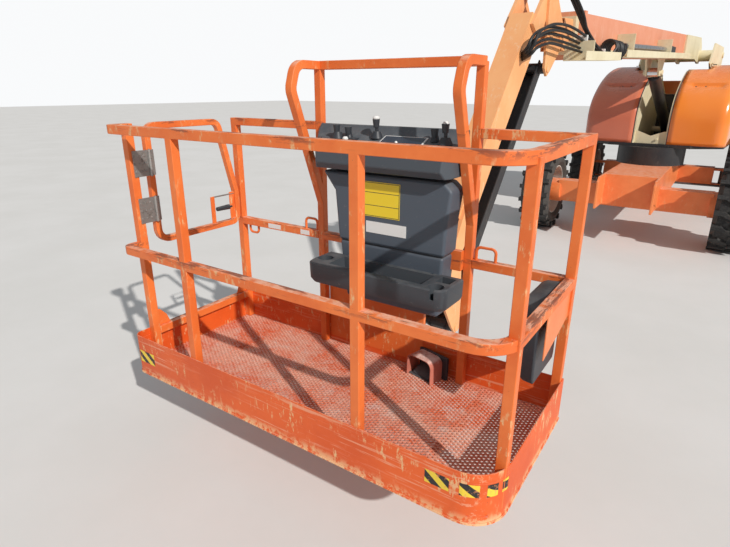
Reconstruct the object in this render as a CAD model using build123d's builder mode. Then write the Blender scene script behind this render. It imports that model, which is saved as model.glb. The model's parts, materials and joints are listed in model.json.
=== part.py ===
from build123d import *
from copy import copy
from math import atan2, cos, degrees, hypot, radians, sin
import os

os.makedirs("parts", exist_ok=True)

# A mobile boom lift: wheeled chassis, slewing turntable, telescopic boom, jib and work platform.
# Millimetres. X runs across the machine, Y from the platform towards the counterweight, Z up.
# The origin is on the ground under the middle of the whole machine.

# Whole machine
MACHINE_WIDTH = 2490.0
PLATFORM_TO_SLEW = 7150.0
PLATFORM_TO_CENTRELINE = 1350.0
TAIL_RADIUS = 2250.0
BOOM_SWING = -4.1
BOOM_SLOPE = 2.2
RUNNING_GAP = 0.3
PIN_GAP = 0.3

# Wheels and chassis
WHEELBASE = 2480.0
TYRE_DIAMETER = 1016.0
TYRE_WIDTH = 355.0
LUG_HEIGHT = 26.0
LUG_THICKNESS = 46.0
LUG_COUNT = 18
RIM_DIAMETER = 625.0
RIM_WIDTH = 300.0
RIM_WALL = 12.0
HUB_RADIUS = 150.0
CHASSIS_WIDTH = 620.0
CHASSIS_LENGTH = 3700.0
CHASSIS_TOP = 800.0
CHASSIS_BOTTOM = 430.0
CHASSIS_PLATE = 25.0
TIE_DOWN_RADIUS = 22.0
TIE_DOWN_INSET = 60.0
TIE_DOWN_HEIGHT = 540.0
AXLE_BEAM_HEIGHT = 260.0
AXLE_BEAM_DEPTH = 220.0
AXLE_BOTTOM = 390.0
KINGPIN_RADIUS = 35.0
KINGPIN_INSET = 330.0
BEAM_TO_KINGPIN = 140.0
FORK_PLATE = 32.0
STEER_ARM = 200.0
STEER_ARM_DROP = 70.0
TIE_ROD_RADIUS = 16.0
TIE_ROD_BOSS = 40.0
SLEW_RING_RADIUS = 420.0

# Turntable
TURNTABLE_BOTTOM = 1035.0
TURNTABLE_PLATE = 40.0
TURNTABLE_FRONT = 285.0
HOOD_OUTER = 870.0
HOOD_INNER = 215.0
HOOD_WALL = 12.0
HOOD_TOP = 2085.0
HOOD_REAR = 1500.0
CHEEK_OUTER = 205.0
CHEEK_PLATE = 15.0
EAR_OUTER = 440.0
EAR_FRONT = 430.0
EAR_REACH = 110.0
EAR_PLATE = 20.0
COUNTERWEIGHT_TOP = 1900.0
HOOD_OPEN = 60.0
HOOD_HINGE_RISE = 13.0
HOOD_HINGE_RADIUS = 12.0
HOOD_HINGE_LENGTH = 96.0
HOOD_HINGE_PLACES = (620.0, 1080.0)
HOOD_NOTCH = 45.0

# Boom, told along the boom from its pivot
PIVOT_BACK = 1600.0
PIVOT_HEIGHT = 2250.0
PIVOT_RADIUS = 40.0
BASE_WIDTH = 240.0
BASE_HEIGHT = 300.0
BASE_RISE = 105.0
BASE_FRONT = 5650.0
BASE_BACK = 900.0
BASE_WALL = 8.0
MID_WIDTH = 196.0
MID_HEIGHT = 256.0
FLY_WIDTH = 156.0
FLY_HEIGHT = 216.0
SECTION_WALL = 7.0
SECTION_STROKE = 3900.0
TRAY_START = 1700.0
TRAY_END = 4850.0
TRAY_WIDTH = 150.0
TRAY_WALL = 60.0
TRAY_PLATE = 190.0
CARRIER_START = 3000.0
CARRIER_END = 4650.0
CARRIER_RADIUS = 28.0
CARRIER_RISE = 90.0
TRACK_START = 5100.0
TRACK_END = 6000.0
LIFT_CYLINDER_RADIUS = 70.0
LIFT_ROD_RADIUS = 42.0
LIFT_LOW_BACK = 850.0
LIFT_LOW_HEIGHT = 1200.0
LIFT_PIN_ALONG = 2350.0
LIFT_PIN_BELOW = 200.0
LIFT_PIN_RADIUS = 30.0
LIFT_LUG_INNER = 60.0

# Jib, told in the level frame of the knuckle at the boom's nose
JIB_PIN_BACK = 4670.0
JIB_PIN_HEIGHT = 2345.0
NOSE_PIN_BACK = 220.0
NOSE_PIN_BELOW = 250.0
LINK_PIN_BACK = 40.0
LINK_PIN_BELOW = 450.0
JIB_LENGTH = 1850.0
JIB_SLOPE = 55.1
JIB_WIDTH = 150.0
JIB_DEPTH = 180.0
JIB_WALL = 6.0
LINK_WIDTH = 120.0
LINK_DEPTH = 75.0
JIB_PIN_RADIUS = 25.0
KNUCKLE_PLATE = 16.0
KNUCKLE_GAP = 98.0
JIB_CYLINDER_RADIUS = 35.0
JIB_ROD_RADIUS = 20.0
JIB_BARREL_BACK = 30.0
JIB_BARREL_BELOW = 250.0
JIB_BARREL_EYE = 90.0
JIB_ROD_ALONG = 1000.0
JIB_ROD_OFFSET = 50.0
JIB_ROD_PIN = 15.0
JIB_SLOT_WIDTH = 110.0

# Work platform, told from its near left bottom corner
PLATFORM_LENGTH = 1830.0
PLATFORM_DEPTH = 760.0
PLATFORM_CLEARANCE = 430.0
CORNER_RADIUS = 140.0
TUBE = 38.0
TOP_RAIL_TOP = 1187.0
MID_RAIL_TOP = 650.0
TOE_HEIGHT = 200.0
SHEET = 5.0
DECK_HEIGHT = 40.0
ROTATOR_FROM_REAR = 340.0
ROTATOR_RADIUS = 105.0
ROTATOR_BOTTOM = 560.0
ROTATOR_TOP = 860.0
SUPPORT_SHELF = 175.0
CONSOLE_X = 1010.0
GUARD_HALF_WIDTH = 398.0
GUARD_TOP = 1452.0
GATE_TUBE = 30.0
GATE_HINGE_GAP = 12.0
HINGE_HEIGHTS = (795.0, 1010.0)
HINGE_HEIGHT = 117.0
HINGE_LEAF = 5.0
HINGE_BARREL = 9.0
HINGE_PIN = 4.0

# Places worked out from the sizes above
half_span_x = (PLATFORM_TO_CENTRELINE + MACHINE_WIDTH / 2) / 2
machine_x = PLATFORM_TO_CENTRELINE - half_span_x
slew_y = (PLATFORM_TO_SLEW - TAIL_RADIUS) / 2
axle_height = TYRE_DIAMETER / 2
wheel_x = MACHINE_WIDTH / 2 - TYRE_WIDTH / 2
kingpin_x = MACHINE_WIDTH / 2 - KINGPIN_INSET

CENTRE = Location((machine_x, slew_y, 0))
UPPER = CENTRE * Location((0, 0, 0), (0, 0, BOOM_SWING))
BOOM = UPPER * Location((0, PIVOT_BACK, PIVOT_HEIGHT), (BOOM_SLOPE, 0, 0))
KNUCKLE = UPPER * Location((0, -JIB_PIN_BACK, JIB_PIN_HEIGHT))
JIB = KNUCKLE * Location((0, 0, 0), (JIB_SLOPE, 0, 0))
SUPPORT = JIB * Location((0, -JIB_LENGTH, 0), (-JIB_SLOPE, 0, 0))
PLATFORM = Location((machine_x - PLATFORM_TO_CENTRELINE, slew_y - PLATFORM_TO_SLEW, PLATFORM_CLEARANCE))


def seat(frame, plane):
    return Plane(frame * plane.location)


def save(piece, name):
    piece.label = name
    export_step(piece, f"parts/{name}.step")


# Wheels: one tyre and one rim, placed four times
with BuildPart() as tyre:
    half = TYRE_WIDTH / 2
    carcass = TYRE_DIAMETER / 2 - LUG_HEIGHT
    bead = RIM_DIAMETER / 2
    with BuildSketch(Plane.XY):
        with BuildLine():
            Polyline((-half + 30, bead), (-half, bead + 50), (-half, carcass - 70), (-half + 45, carcass - 10),
                     (0, carcass), (half - 45, carcass - 10), (half, carcass - 70), (half, bead + 50),
                     (half - 30, bead), close=True)
        make_face()
    revolve(axis=Axis.X)
    lug_planes = []
    for index in range(LUG_COUNT):
        for side in (-1, 1):
            turn = (index + (0.25 if side > 0 else -0.25)) * 360 / LUG_COUNT
            spin = Location((0, 0, 0), (turn, 0, 0)) * Location((0, 0, carcass - 40))
            lug_planes.append((side, Plane(spin)))
    for lug_side in (-1, 1):
        with BuildSketch(*[plane for side, plane in lug_planes if side == lug_side]):
            with BuildLine():
                tip = LUG_THICKNESS / 2
                Polyline((0, -tip), (lug_side * half * 0.55, tip), (lug_side * half, tip),
                         (lug_side * half, 3 * tip), (lug_side * half * 0.5, 3 * tip), (0, tip), close=True)
            make_face()
        extrude(amount=LUG_HEIGHT + 44)
    with Locations((0, 0, 0)):
        Cylinder(TYRE_DIAMETER / 2, TYRE_WIDTH, rotation=(0, 90, 0), mode=Mode.INTERSECT)
with BuildPart() as rim:
    with BuildSketch(Plane.XY):
        with BuildLine():
            Polyline((-RIM_WIDTH / 2, bead), (-RIM_WIDTH / 2, bead - RIM_WALL), (RIM_WIDTH / 2 - 60, bead - 30),
                     (RIM_WIDTH / 2 - 60, 60), (RIM_WIDTH / 2 - 44, 60), (RIM_WIDTH / 2 - 44, bead - 30),
                     (RIM_WIDTH / 2, bead - RIM_WALL), (RIM_WIDTH / 2, bead), close=True)
        make_face()
    revolve(axis=Axis.X)

# name, side, place along the wheelbase
WHEELS = [("fl", -1, -1), ("fr", 1, -1), ("rl", -1, 1), ("rr", 1, 1)]
for name, side, end in WHEELS:
    facing = 0 if side > 0 else 180
    hub = CENTRE * Location((side * wheel_x, end * WHEELBASE / 2, axle_height), (0, 0, facing))
    save(copy(tyre.part).moved(hub), f"tyre_{name}")
    save(copy(rim.part).moved(hub), f"rim_{name}")

# Chassis frame: two deep side plates under a top plate, with a recessed front wall
with BuildPart() as chassis_frame:
    for side in (-1, 1):
        with BuildSketch(seat(CENTRE, Plane.YZ.offset(side * (CHASSIS_WIDTH - CHASSIS_PLATE) / 2))):
            with BuildLine():
                reach = CHASSIS_LENGTH / 2
                Polyline((-reach, CHASSIS_BOTTOM), (reach, CHASSIS_BOTTOM), (reach, CHASSIS_TOP - 90),
                         (reach - 120, CHASSIS_TOP), (-reach + 60, CHASSIS_TOP), (-reach, CHASSIS_TOP - 60),
                         close=True)
            make_face()
        extrude(amount=CHASSIS_PLATE / 2, both=True)
    with Locations(CENTRE * Location((0, 0, CHASSIS_TOP - CHASSIS_PLATE / 2))):
        Box(CHASSIS_WIDTH, CHASSIS_LENGTH - 700, CHASSIS_PLATE)
    with Locations(CENTRE * Location((0, 0, CHASSIS_BOTTOM + CHASSIS_PLATE / 2))):
        Box(CHASSIS_WIDTH, CHASSIS_LENGTH - 700, CHASSIS_PLATE)
    for end in (-1, 1):
        wall_y = end * (CHASSIS_LENGTH / 2 - 360)
        with Locations(CENTRE * Location((0, wall_y, (CHASSIS_TOP + CHASSIS_BOTTOM) / 2))):
            Box(CHASSIS_WIDTH, CHASSIS_PLATE, CHASSIS_TOP - CHASSIS_BOTTOM)
    for end in (-1, 1):
        with Locations(CENTRE * Location((0, end * WHEELBASE / 2, AXLE_BOTTOM + AXLE_BEAM_HEIGHT / 2))):
            Box(CHASSIS_WIDTH, AXLE_BEAM_DEPTH, AXLE_BEAM_HEIGHT, mode=Mode.SUBTRACT)
    for end in (-1, 1):
        eye = Location((0, end * (CHASSIS_LENGTH / 2 - TIE_DOWN_INSET), TIE_DOWN_HEIGHT), (0, 90, 0))
        with Locations(CENTRE * eye):
            Cylinder(TIE_DOWN_RADIUS, 2 * CHASSIS_WIDTH, mode=Mode.SUBTRACT)
save(chassis_frame.part, "chassis_frame")

# Slewing ring between chassis and turntable
with BuildPart() as slew_ring:
    with BuildSketch(seat(CENTRE, Plane.XY.offset(CHASSIS_TOP))):
        Circle(SLEW_RING_RADIUS)
        Circle(SLEW_RING_RADIUS - 90, mode=Mode.SUBTRACT)
    extrude(amount=TURNTABLE_BOTTOM - CHASSIS_TOP - RUNNING_GAP)
save(slew_ring.part, "slew_ring")

# Fixed axle under the platform end, with the hubs that carry the wheels
with BuildPart() as drive_axle:
    with Locations(CENTRE * Location((0, -WHEELBASE / 2, AXLE_BOTTOM + AXLE_BEAM_HEIGHT / 2))):
        Box(2 * (wheel_x - TYRE_WIDTH / 2) - 60, AXLE_BEAM_DEPTH, AXLE_BEAM_HEIGHT)
    for side in (-1, 1):
        hub_start = wheel_x - TYRE_WIDTH / 2 - 60
        with BuildSketch(seat(CENTRE * Location((side * hub_start, -WHEELBASE / 2, axle_height)), Plane.YZ)):
            Circle(HUB_RADIUS)
        extrude(amount=side * (wheel_x + RIM_WIDTH / 2 - 60 - RUNNING_GAP - hub_start))
save(drive_axle.part, "drive_axle")

# Steering axle: beam with a fork for each knuckle
with BuildPart() as steer_axle:
    axle_mid = AXLE_BOTTOM + AXLE_BEAM_HEIGHT / 2
    with Locations(CENTRE * Location((0, WHEELBASE / 2, axle_mid))):
        Box(2 * (kingpin_x - BEAM_TO_KINGPIN), AXLE_BEAM_DEPTH, AXLE_BEAM_HEIGHT)
    for side in (-1, 1):
        for level in (-1, 1):
            fork_z = axle_height + level * (AXLE_BEAM_HEIGHT - FORK_PLATE) / 2
            with Locations(CENTRE * Location((side * (kingpin_x - 60), WHEELBASE / 2, fork_z))):
                Box(180, 140, FORK_PLATE)
        with Locations(CENTRE * Location((side * kingpin_x, WHEELBASE / 2, axle_height))):
            Cylinder(KINGPIN_RADIUS, AXLE_BEAM_HEIGHT)
save(steer_axle.part, "steer_axle")

knuckle_height = AXLE_BEAM_HEIGHT - 2 * FORK_PLATE - 2 * RUNNING_GAP
for name, side in (("l", -1), ("r", 1)):
    with BuildPart() as knuckle:
        with Locations(CENTRE * Location((side * kingpin_x, WHEELBASE / 2, axle_height))):
            Cylinder(KINGPIN_RADIUS + 30, knuckle_height)
        with BuildSketch(seat(CENTRE * Location((side * kingpin_x, WHEELBASE / 2, axle_height)), Plane.YZ)):
            Circle(60)
        extrude(amount=side * (wheel_x + RIM_WIDTH / 2 - 60 - RUNNING_GAP - kingpin_x))
        with Locations(CENTRE * Location((side * kingpin_x, WHEELBASE / 2 - STEER_ARM / 2, axle_height - STEER_ARM_DROP))):
            Box(50, STEER_ARM, 36)
        with Locations(CENTRE * Location((side * kingpin_x, WHEELBASE / 2, axle_height))):
            Cylinder(KINGPIN_RADIUS + PIN_GAP, knuckle_height, mode=Mode.SUBTRACT)
        with Locations(CENTRE * Location((side * kingpin_x, WHEELBASE / 2 - STEER_ARM, axle_height - STEER_ARM_DROP))):
            Cylinder(30, 36)
            Cylinder(14 + PIN_GAP, 36, mode=Mode.SUBTRACT)
    save(knuckle.part, f"knuckle_{name}")

with BuildPart() as tie_rod:
    rod_z = axle_height - STEER_ARM_DROP - 18 - RUNNING_GAP - TIE_ROD_BOSS / 2
    with Locations(CENTRE * Location((0, WHEELBASE / 2 - STEER_ARM, rod_z), (0, 90, 0))):
        Cylinder(TIE_ROD_RADIUS, 2 * kingpin_x - 40)
    for side in (-1, 1):
        with Locations(CENTRE * Location((side * kingpin_x, WHEELBASE / 2 - STEER_ARM, rod_z))):
            Cylinder(30, TIE_ROD_BOSS)
        with Locations(CENTRE * Location((side * kingpin_x, WHEELBASE / 2 - STEER_ARM, rod_z + 34))):
            Cylinder(14, 76)
save(tie_rod.part, "tie_rod")

# Turntable base plate
turntable_top = TURNTABLE_BOTTOM + TURNTABLE_PLATE
with BuildPart() as turntable_base:
    with BuildSketch(seat(UPPER, Plane.XY.offset(TURNTABLE_BOTTOM))):
        with BuildLine():
            back = HOOD_REAR + 200
            Polyline((-500, -TURNTABLE_FRONT), (500, -TURNTABLE_FRONT), (HOOD_OUTER - 30, 0),
                     (HOOD_OUTER - 30, back), (-HOOD_OUTER + 30, back), (-HOOD_OUTER + 30, 0), close=True)
        make_face()
    extrude(amount=TURNTABLE_PLATE)
save(turntable_base.part, "turntable_base")

# Hinge line of both hoods beside the ears
HOOD_HINGE_X = EAR_OUTER + 15
HOOD_HINGE_Z = HOOD_TOP + HOOD_HINGE_RISE

# Cheek plates beside the boom, widening to the ears that hold the boom's pivot pin
with BuildPart() as turret:
    for side in (-1, 1):
        with BuildSketch(seat(UPPER, Plane.YZ.offset(side * (CHEEK_OUTER - CHEEK_PLATE / 2)))):
            with BuildLine():
                Polyline((-TURNTABLE_FRONT, turntable_top), (-TURNTABLE_FRONT, 1490), (-50, 1850),
                         (200, 2010), (900, 2010), (1000, 1900), (1500, 1700), (PIVOT_BACK + 60, 1700),
                         (PIVOT_BACK + 60, turntable_top), close=True)
            make_face()
        extrude(amount=CHEEK_PLATE / 2, both=True)
        with BuildSketch(seat(UPPER, Plane.YZ.offset(side * (EAR_OUTER - EAR_PLATE / 2)))):
            with BuildLine():
                Polyline((PIVOT_BACK - 450, turntable_top), (PIVOT_BACK - 450, 1760),
                         (PIVOT_BACK - 1150, PIVOT_HEIGHT - 150),
                         (PIVOT_BACK - 950, PIVOT_HEIGHT + 110), (PIVOT_BACK, PIVOT_HEIGHT + 110),
                         (PIVOT_BACK + EAR_REACH, PIVOT_HEIGHT), (PIVOT_BACK + EAR_REACH, turntable_top), close=True)
            make_face()
        extrude(amount=EAR_PLATE / 2, both=True)
    with Locations(UPPER * Location((0, PIVOT_BACK, PIVOT_HEIGHT), (0, 90, 0))):
        Cylinder(PIVOT_RADIUS, 2 * EAR_OUTER + 30)
    with Locations(UPPER * Location((0, PIVOT_BACK + 60, (turntable_top + 1700) / 2))):
        Box(2 * EAR_OUTER - 2 * EAR_PLATE, 40, 1700 - turntable_top)
    with Locations(UPPER * Location((0, LIFT_LOW_BACK, LIFT_LOW_HEIGHT), (0, 90, 0))):
        Cylinder(PIVOT_RADIUS, 2 * CHEEK_OUTER - 2)
    for side in (-1, 1):
        for place in HOOD_HINGE_PLACES:
            for end in (-1, 1):
                spot = (side * HOOD_HINGE_X, place + end * HOOD_HINGE_LENGTH / 3, HOOD_HINGE_Z)
                with Locations(UPPER * Location(spot, (90, 0, 0))):
                    Cylinder(HOOD_HINGE_RADIUS, HOOD_HINGE_LENGTH / 3)
                with Locations(UPPER * Location((side * (EAR_OUTER + 6), spot[1], HOOD_HINGE_Z))):
                    Box(14, HOOD_HINGE_LENGTH / 3, 12)
            with Locations(UPPER * Location((side * HOOD_HINGE_X, place, HOOD_HINGE_Z), (90, 0, 0))):
                Cylinder(HOOD_HINGE_RADIUS / 2, HOOD_HINGE_LENGTH)
save(turret.part, "turret")

# Counterweight with its rear face on the tail swing circle
with BuildPart() as counterweight:
    with BuildSketch(seat(UPPER, Plane.XY.offset(turntable_top))):
        Circle(TAIL_RADIUS)
        with Locations((0, PIVOT_BACK + EAR_REACH + RUNNING_GAP - 2 * TAIL_RADIUS)):
            Rectangle(4 * TAIL_RADIUS, 4 * TAIL_RADIUS, mode=Mode.SUBTRACT)
        with Locations((0, TAIL_RADIUS)):
            Rectangle(2 * HOOD_OUTER + 40, 2 * TAIL_RADIUS, mode=Mode.INTERSECT)
    extrude(amount=COUNTERWEIGHT_TOP - turntable_top)
save(counterweight.part, "counterweight")

with BuildPart() as engine:
    with Locations(UPPER * Location((HOOD_INNER + 330, 620, turntable_top + 330))):
        Box(420, 900, 660)
save(engine.part, "engine")

# Hoods: moulded shells that open on hinges beside the boom
for name, side in (("l", -1), ("r", 1)):
    with BuildPart() as hood:
        with BuildSketch(seat(UPPER, Plane.YZ.offset(side * HOOD_INNER))):
            with BuildLine():
                Polyline((-280, turntable_top + RUNNING_GAP), (-280, 1500), (-40, 1850), (300, HOOD_TOP),
                         (HOOD_REAR - 250, HOOD_TOP), (HOOD_REAR, 1850), (HOOD_REAR + 170, turntable_top + RUNNING_GAP),
                         close=True)
            make_face()
        extrude(amount=side * (HOOD_OUTER - HOOD_INNER))
        with BuildSketch(seat(UPPER, Plane.YZ.offset(side * (HOOD_INNER - 1)))):
            with BuildLine():
                Polyline((-280 + HOOD_WALL, turntable_top), (-280 + HOOD_WALL, 1500),
                         (-40 + HOOD_WALL, 1850 - HOOD_WALL), (300, HOOD_TOP - HOOD_WALL),
                         (HOOD_REAR - 250 - HOOD_WALL, HOOD_TOP - HOOD_WALL), (HOOD_REAR - HOOD_WALL, 1850),
                         (HOOD_REAR + 170 - HOOD_WALL, turntable_top), close=True)
            make_face()
        extrude(amount=side * (HOOD_OUTER - HOOD_INNER - HOOD_WALL + 1), mode=Mode.SUBTRACT)
        with Locations(UPPER * Location((side * (EAR_OUTER / 2 + 5), EAR_FRONT + 1000, HOOD_TOP))):
            Box(EAR_OUTER + 10, 2000, 3000, mode=Mode.SUBTRACT)
        with Locations(UPPER * Location((side * (HOOD_HINGE_X + 15) / 2, 0, turntable_top))):
            Box(HOOD_HINGE_X + 15, 2000, 2 * HOOD_NOTCH, mode=Mode.SUBTRACT)
        for place in HOOD_HINGE_PLACES:
            with Locations(UPPER * Location((side * HOOD_HINGE_X, place, HOOD_HINGE_Z), (90, 0, 0))):
                Cylinder(HOOD_HINGE_RADIUS, HOOD_HINGE_LENGTH / 3 - 2 * RUNNING_GAP)
            with Locations(UPPER * Location((side * (HOOD_HINGE_X + 4), place, HOOD_HINGE_Z - 9))):
                Box(12, HOOD_HINGE_LENGTH / 3 - 2 * RUNNING_GAP, 20)
            with Locations(UPPER * Location((side * HOOD_HINGE_X, place, HOOD_HINGE_Z), (90, 0, 0))):
                Cylinder(HOOD_HINGE_RADIUS / 2 + PIN_GAP, HOOD_HINGE_LENGTH, mode=Mode.SUBTRACT)
    save(hood.part, f"hood_{name}")

# Boom base section with its pivot heel
with BuildPart() as boom_base:
    with BuildSketch(seat(BOOM * Location((0, -BASE_BACK, BASE_RISE)), Plane.XZ)):
        Rectangle(BASE_WIDTH, BASE_HEIGHT)
        Rectangle(BASE_WIDTH - 2 * BASE_WALL, BASE_HEIGHT - 2 * BASE_WALL, mode=Mode.SUBTRACT)
    extrude(amount=BASE_FRONT - BASE_BACK)
    with BuildSketch(seat(BOOM * Location((0, -BASE_FRONT + 60, BASE_RISE)), Plane.XZ)):
        Rectangle(BASE_WIDTH + 30, BASE_HEIGHT + 30)
        Rectangle(MID_WIDTH + 2 * RUNNING_GAP, MID_HEIGHT + 2 * RUNNING_GAP, mode=Mode.SUBTRACT)
    extrude(amount=60)
    for side in (-1, 1):
        with BuildSketch(seat(BOOM, Plane.YZ.offset(side * LIFT_LUG_INNER))):
            with BuildLine():
                Polyline((-LIFT_PIN_ALONG - 160, BASE_RISE - BASE_HEIGHT / 2), (-LIFT_PIN_ALONG - 50, -LIFT_PIN_BELOW - 40),
                         (-LIFT_PIN_ALONG + 50, -LIFT_PIN_BELOW - 40),
                         (-LIFT_PIN_ALONG + 160, BASE_RISE - BASE_HEIGHT / 2), close=True)
            make_face()
        extrude(amount=side * 20)
        with Locations(BOOM * Location((side * (LIFT_LUG_INNER + 28), -LIFT_PIN_ALONG, -LIFT_PIN_BELOW), (0, 90, 0))):
            Cylinder(LIFT_PIN_RADIUS, 40)
save(boom_base.part, "boom_base")

with BuildPart() as boom_heel:
    for side in (-1, 1):
        with BuildSketch(seat(BOOM, Plane.YZ.offset(side * BASE_WIDTH / 2))):
            with BuildLine():
                Polyline((110, -60), (110, 120), (-100, BASE_RISE + BASE_HEIGHT / 2), (-1300, BASE_RISE + BASE_HEIGHT / 2),
                         (-1300, BASE_RISE - BASE_HEIGHT / 2), (-400, BASE_RISE - BASE_HEIGHT / 2), (-60, -110),
                         (60, -110), close=True)
            make_face()
        extrude(amount=side * 20)
    with Locations(BOOM * Location((0, 0, 0), (0, 90, 0))):
        Cylinder(80, 2 * EAR_OUTER - 2 * EAR_PLATE - 2 * RUNNING_GAP)
        Cylinder(PIVOT_RADIUS + PIN_GAP, 2 * EAR_OUTER, mode=Mode.SUBTRACT)
save(boom_heel.part, "boom_heel")

# Channel along the boom's right side for the hoses, with two plates that hold the carrier tube
tray_mid = BASE_WIDTH / 2 + RUNNING_GAP + TRAY_WIDTH / 2
tray_low = BASE_RISE - BASE_HEIGHT / 2
with BuildPart() as hose_tray:
    with BuildSketch(seat(BOOM * Location((0, -TRAY_START, tray_low)), Plane.XZ)):
        with Locations((tray_mid, TRAY_WALL / 2)):
            Rectangle(TRAY_WIDTH, TRAY_WALL)
        with Locations((tray_mid, TRAY_WALL / 2 + SHEET)):
            Rectangle(TRAY_WIDTH - 2 * SHEET, TRAY_WALL, mode=Mode.SUBTRACT)
    extrude(amount=TRAY_END - TRAY_START)
    for along in (CARRIER_START, CARRIER_END):
        with Locations(BOOM * Location((tray_mid, -along, tray_low + TRAY_PLATE / 2))):
            Box(TRAY_WIDTH, 8, TRAY_PLATE)
        with Locations(BOOM * Location((tray_mid, -along, tray_low + CARRIER_RISE), (90, 0, 0))):
            Cylinder(CARRIER_RADIUS + PIN_GAP, 20, mode=Mode.SUBTRACT)
save(hose_tray.part, "hose_tray")

with BuildPart() as carrier_tube:
    with BuildSketch(seat(BOOM * Location((tray_mid, -CARRIER_START + 30, tray_low + CARRIER_RISE)), Plane.XZ)):
        Circle(CARRIER_RADIUS)
        Circle(CARRIER_RADIUS - SHEET, mode=Mode.SUBTRACT)
    extrude(amount=CARRIER_END - CARRIER_START + 60)
save(carrier_tube.part, "carrier_tube")

with BuildPart() as boom_mid:
    with BuildSketch(seat(BOOM * Location((0, -BASE_BACK - 20, BASE_RISE)), Plane.XZ)):
        Rectangle(MID_WIDTH, MID_HEIGHT)
        Rectangle(MID_WIDTH - 2 * SECTION_WALL, MID_HEIGHT - 2 * SECTION_WALL, mode=Mode.SUBTRACT)
    extrude(amount=BASE_FRONT + 70 - BASE_BACK - 20)
    with BuildSketch(seat(BOOM * Location((0, -BASE_FRONT - 10, BASE_RISE)), Plane.XZ)):
        Rectangle(MID_WIDTH, MID_HEIGHT)
        Rectangle(FLY_WIDTH + 2 * RUNNING_GAP, FLY_HEIGHT + 2 * RUNNING_GAP, mode=Mode.SUBTRACT)
    extrude(amount=60)
save(boom_mid.part, "boom_mid")

# The nose pin in the boom's own frame
nose_pin = BOOM.inverse() * KNUCKLE * Location((0, NOSE_PIN_BACK, -NOSE_PIN_BELOW))
nose_y = nose_pin.position.Y
nose_z = nose_pin.position.Z
fly_end = -nose_y - 150
with BuildPart() as boom_fly:
    with BuildSketch(seat(BOOM * Location((0, -BASE_BACK - 60, BASE_RISE)), Plane.XZ)):
        Rectangle(FLY_WIDTH, FLY_HEIGHT)
        Rectangle(FLY_WIDTH - 2 * SECTION_WALL, FLY_HEIGHT - 2 * SECTION_WALL, mode=Mode.SUBTRACT)
    extrude(amount=fly_end - BASE_BACK - 60)
    for side in (-1, 1):
        with BuildSketch(seat(BOOM, Plane.YZ.offset(side * FLY_WIDTH / 2))):
            with BuildLine():
                Polyline((-fly_end + 200, BASE_RISE + 70), (-fly_end + 200, BASE_RISE - 70), (nose_y + 20, nose_z - 60),
                         (nose_y - 50, nose_z), (nose_y + 20, nose_z + 60), close=True)
            make_face()
        extrude(amount=-side * 22)
    with Locations(BOOM * Location((0, nose_y, nose_z), (0, 90, 0))):
        Cylinder(JIB_PIN_RADIUS + PIN_GAP, 300, mode=Mode.SUBTRACT)
save(boom_fly.part, "boom_fly")

# Bracket on the fly section that pulls the hoses along the tray's line
with BuildPart() as track_bracket:
    with BuildSketch(seat(BOOM * Location((0, -TRACK_START, tray_low - 25)), Plane.XZ)):
        with Locations((tray_mid + 15, TRAY_WALL / 2)):
            Rectangle(TRAY_WIDTH, TRAY_WALL)
        with Locations((tray_mid + 15 - SHEET, TRAY_WALL / 2 + SHEET)):
            Rectangle(TRAY_WIDTH, TRAY_WALL, mode=Mode.SUBTRACT)
    extrude(amount=TRACK_END - TRACK_START)
    arm_left = FLY_WIDTH / 2 + RUNNING_GAP
    arm_right = tray_mid + 15 + TRAY_WIDTH / 2
    with Locations(BOOM * Location(((arm_left + arm_right) / 2, -BASE_FRONT - 190, tray_low + 40))):
        Box(arm_right - arm_left, 12, 130)
save(track_bracket.part, "track_bracket")

# Lift cylinder between the turret's low pin and the boom's underside
low_pin = UPPER * Location((0, LIFT_LOW_BACK, LIFT_LOW_HEIGHT))
high_pin = BOOM * Location((0, -LIFT_PIN_ALONG, -LIFT_PIN_BELOW))
reach_local = (low_pin.inverse() * high_pin).position
lift_length = hypot(reach_local.Y, reach_local.Z)
lift_angle = degrees(atan2(reach_local.Z, -reach_local.Y))
LIFT = low_pin * Location((0, 0, 0), (-lift_angle, 0, 0))
with BuildPart() as lift_barrel:
    with BuildSketch(seat(LIFT * Location((0, -30, 0)), Plane.XZ)):
        Circle(LIFT_CYLINDER_RADIUS)
        Circle(LIFT_ROD_RADIUS + RUNNING_GAP, mode=Mode.SUBTRACT)
    extrude(amount=lift_length - 110)
    with Locations(LIFT * Location((0, 0, 0), (0, 90, 0))):
        Cylinder(75, 110)
        Cylinder(PIVOT_RADIUS + PIN_GAP, 200, mode=Mode.SUBTRACT)
save(lift_barrel.part, "lift_barrel")
with BuildPart() as lift_rod:
    with BuildSketch(seat(LIFT * Location((0, -120, 0)), Plane.XZ)):
        Circle(LIFT_ROD_RADIUS)
    extrude(amount=lift_length - 120)
    with Locations(LIFT * Location((0, -lift_length, 0), (0, 90, 0))):
        Cylinder(55, 2 * LIFT_LUG_INNER - 10)
        Cylinder(LIFT_PIN_RADIUS, 2 * LIFT_LUG_INNER - 2 * RUNNING_GAP)
save(lift_rod.part, "lift_rod")

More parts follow.
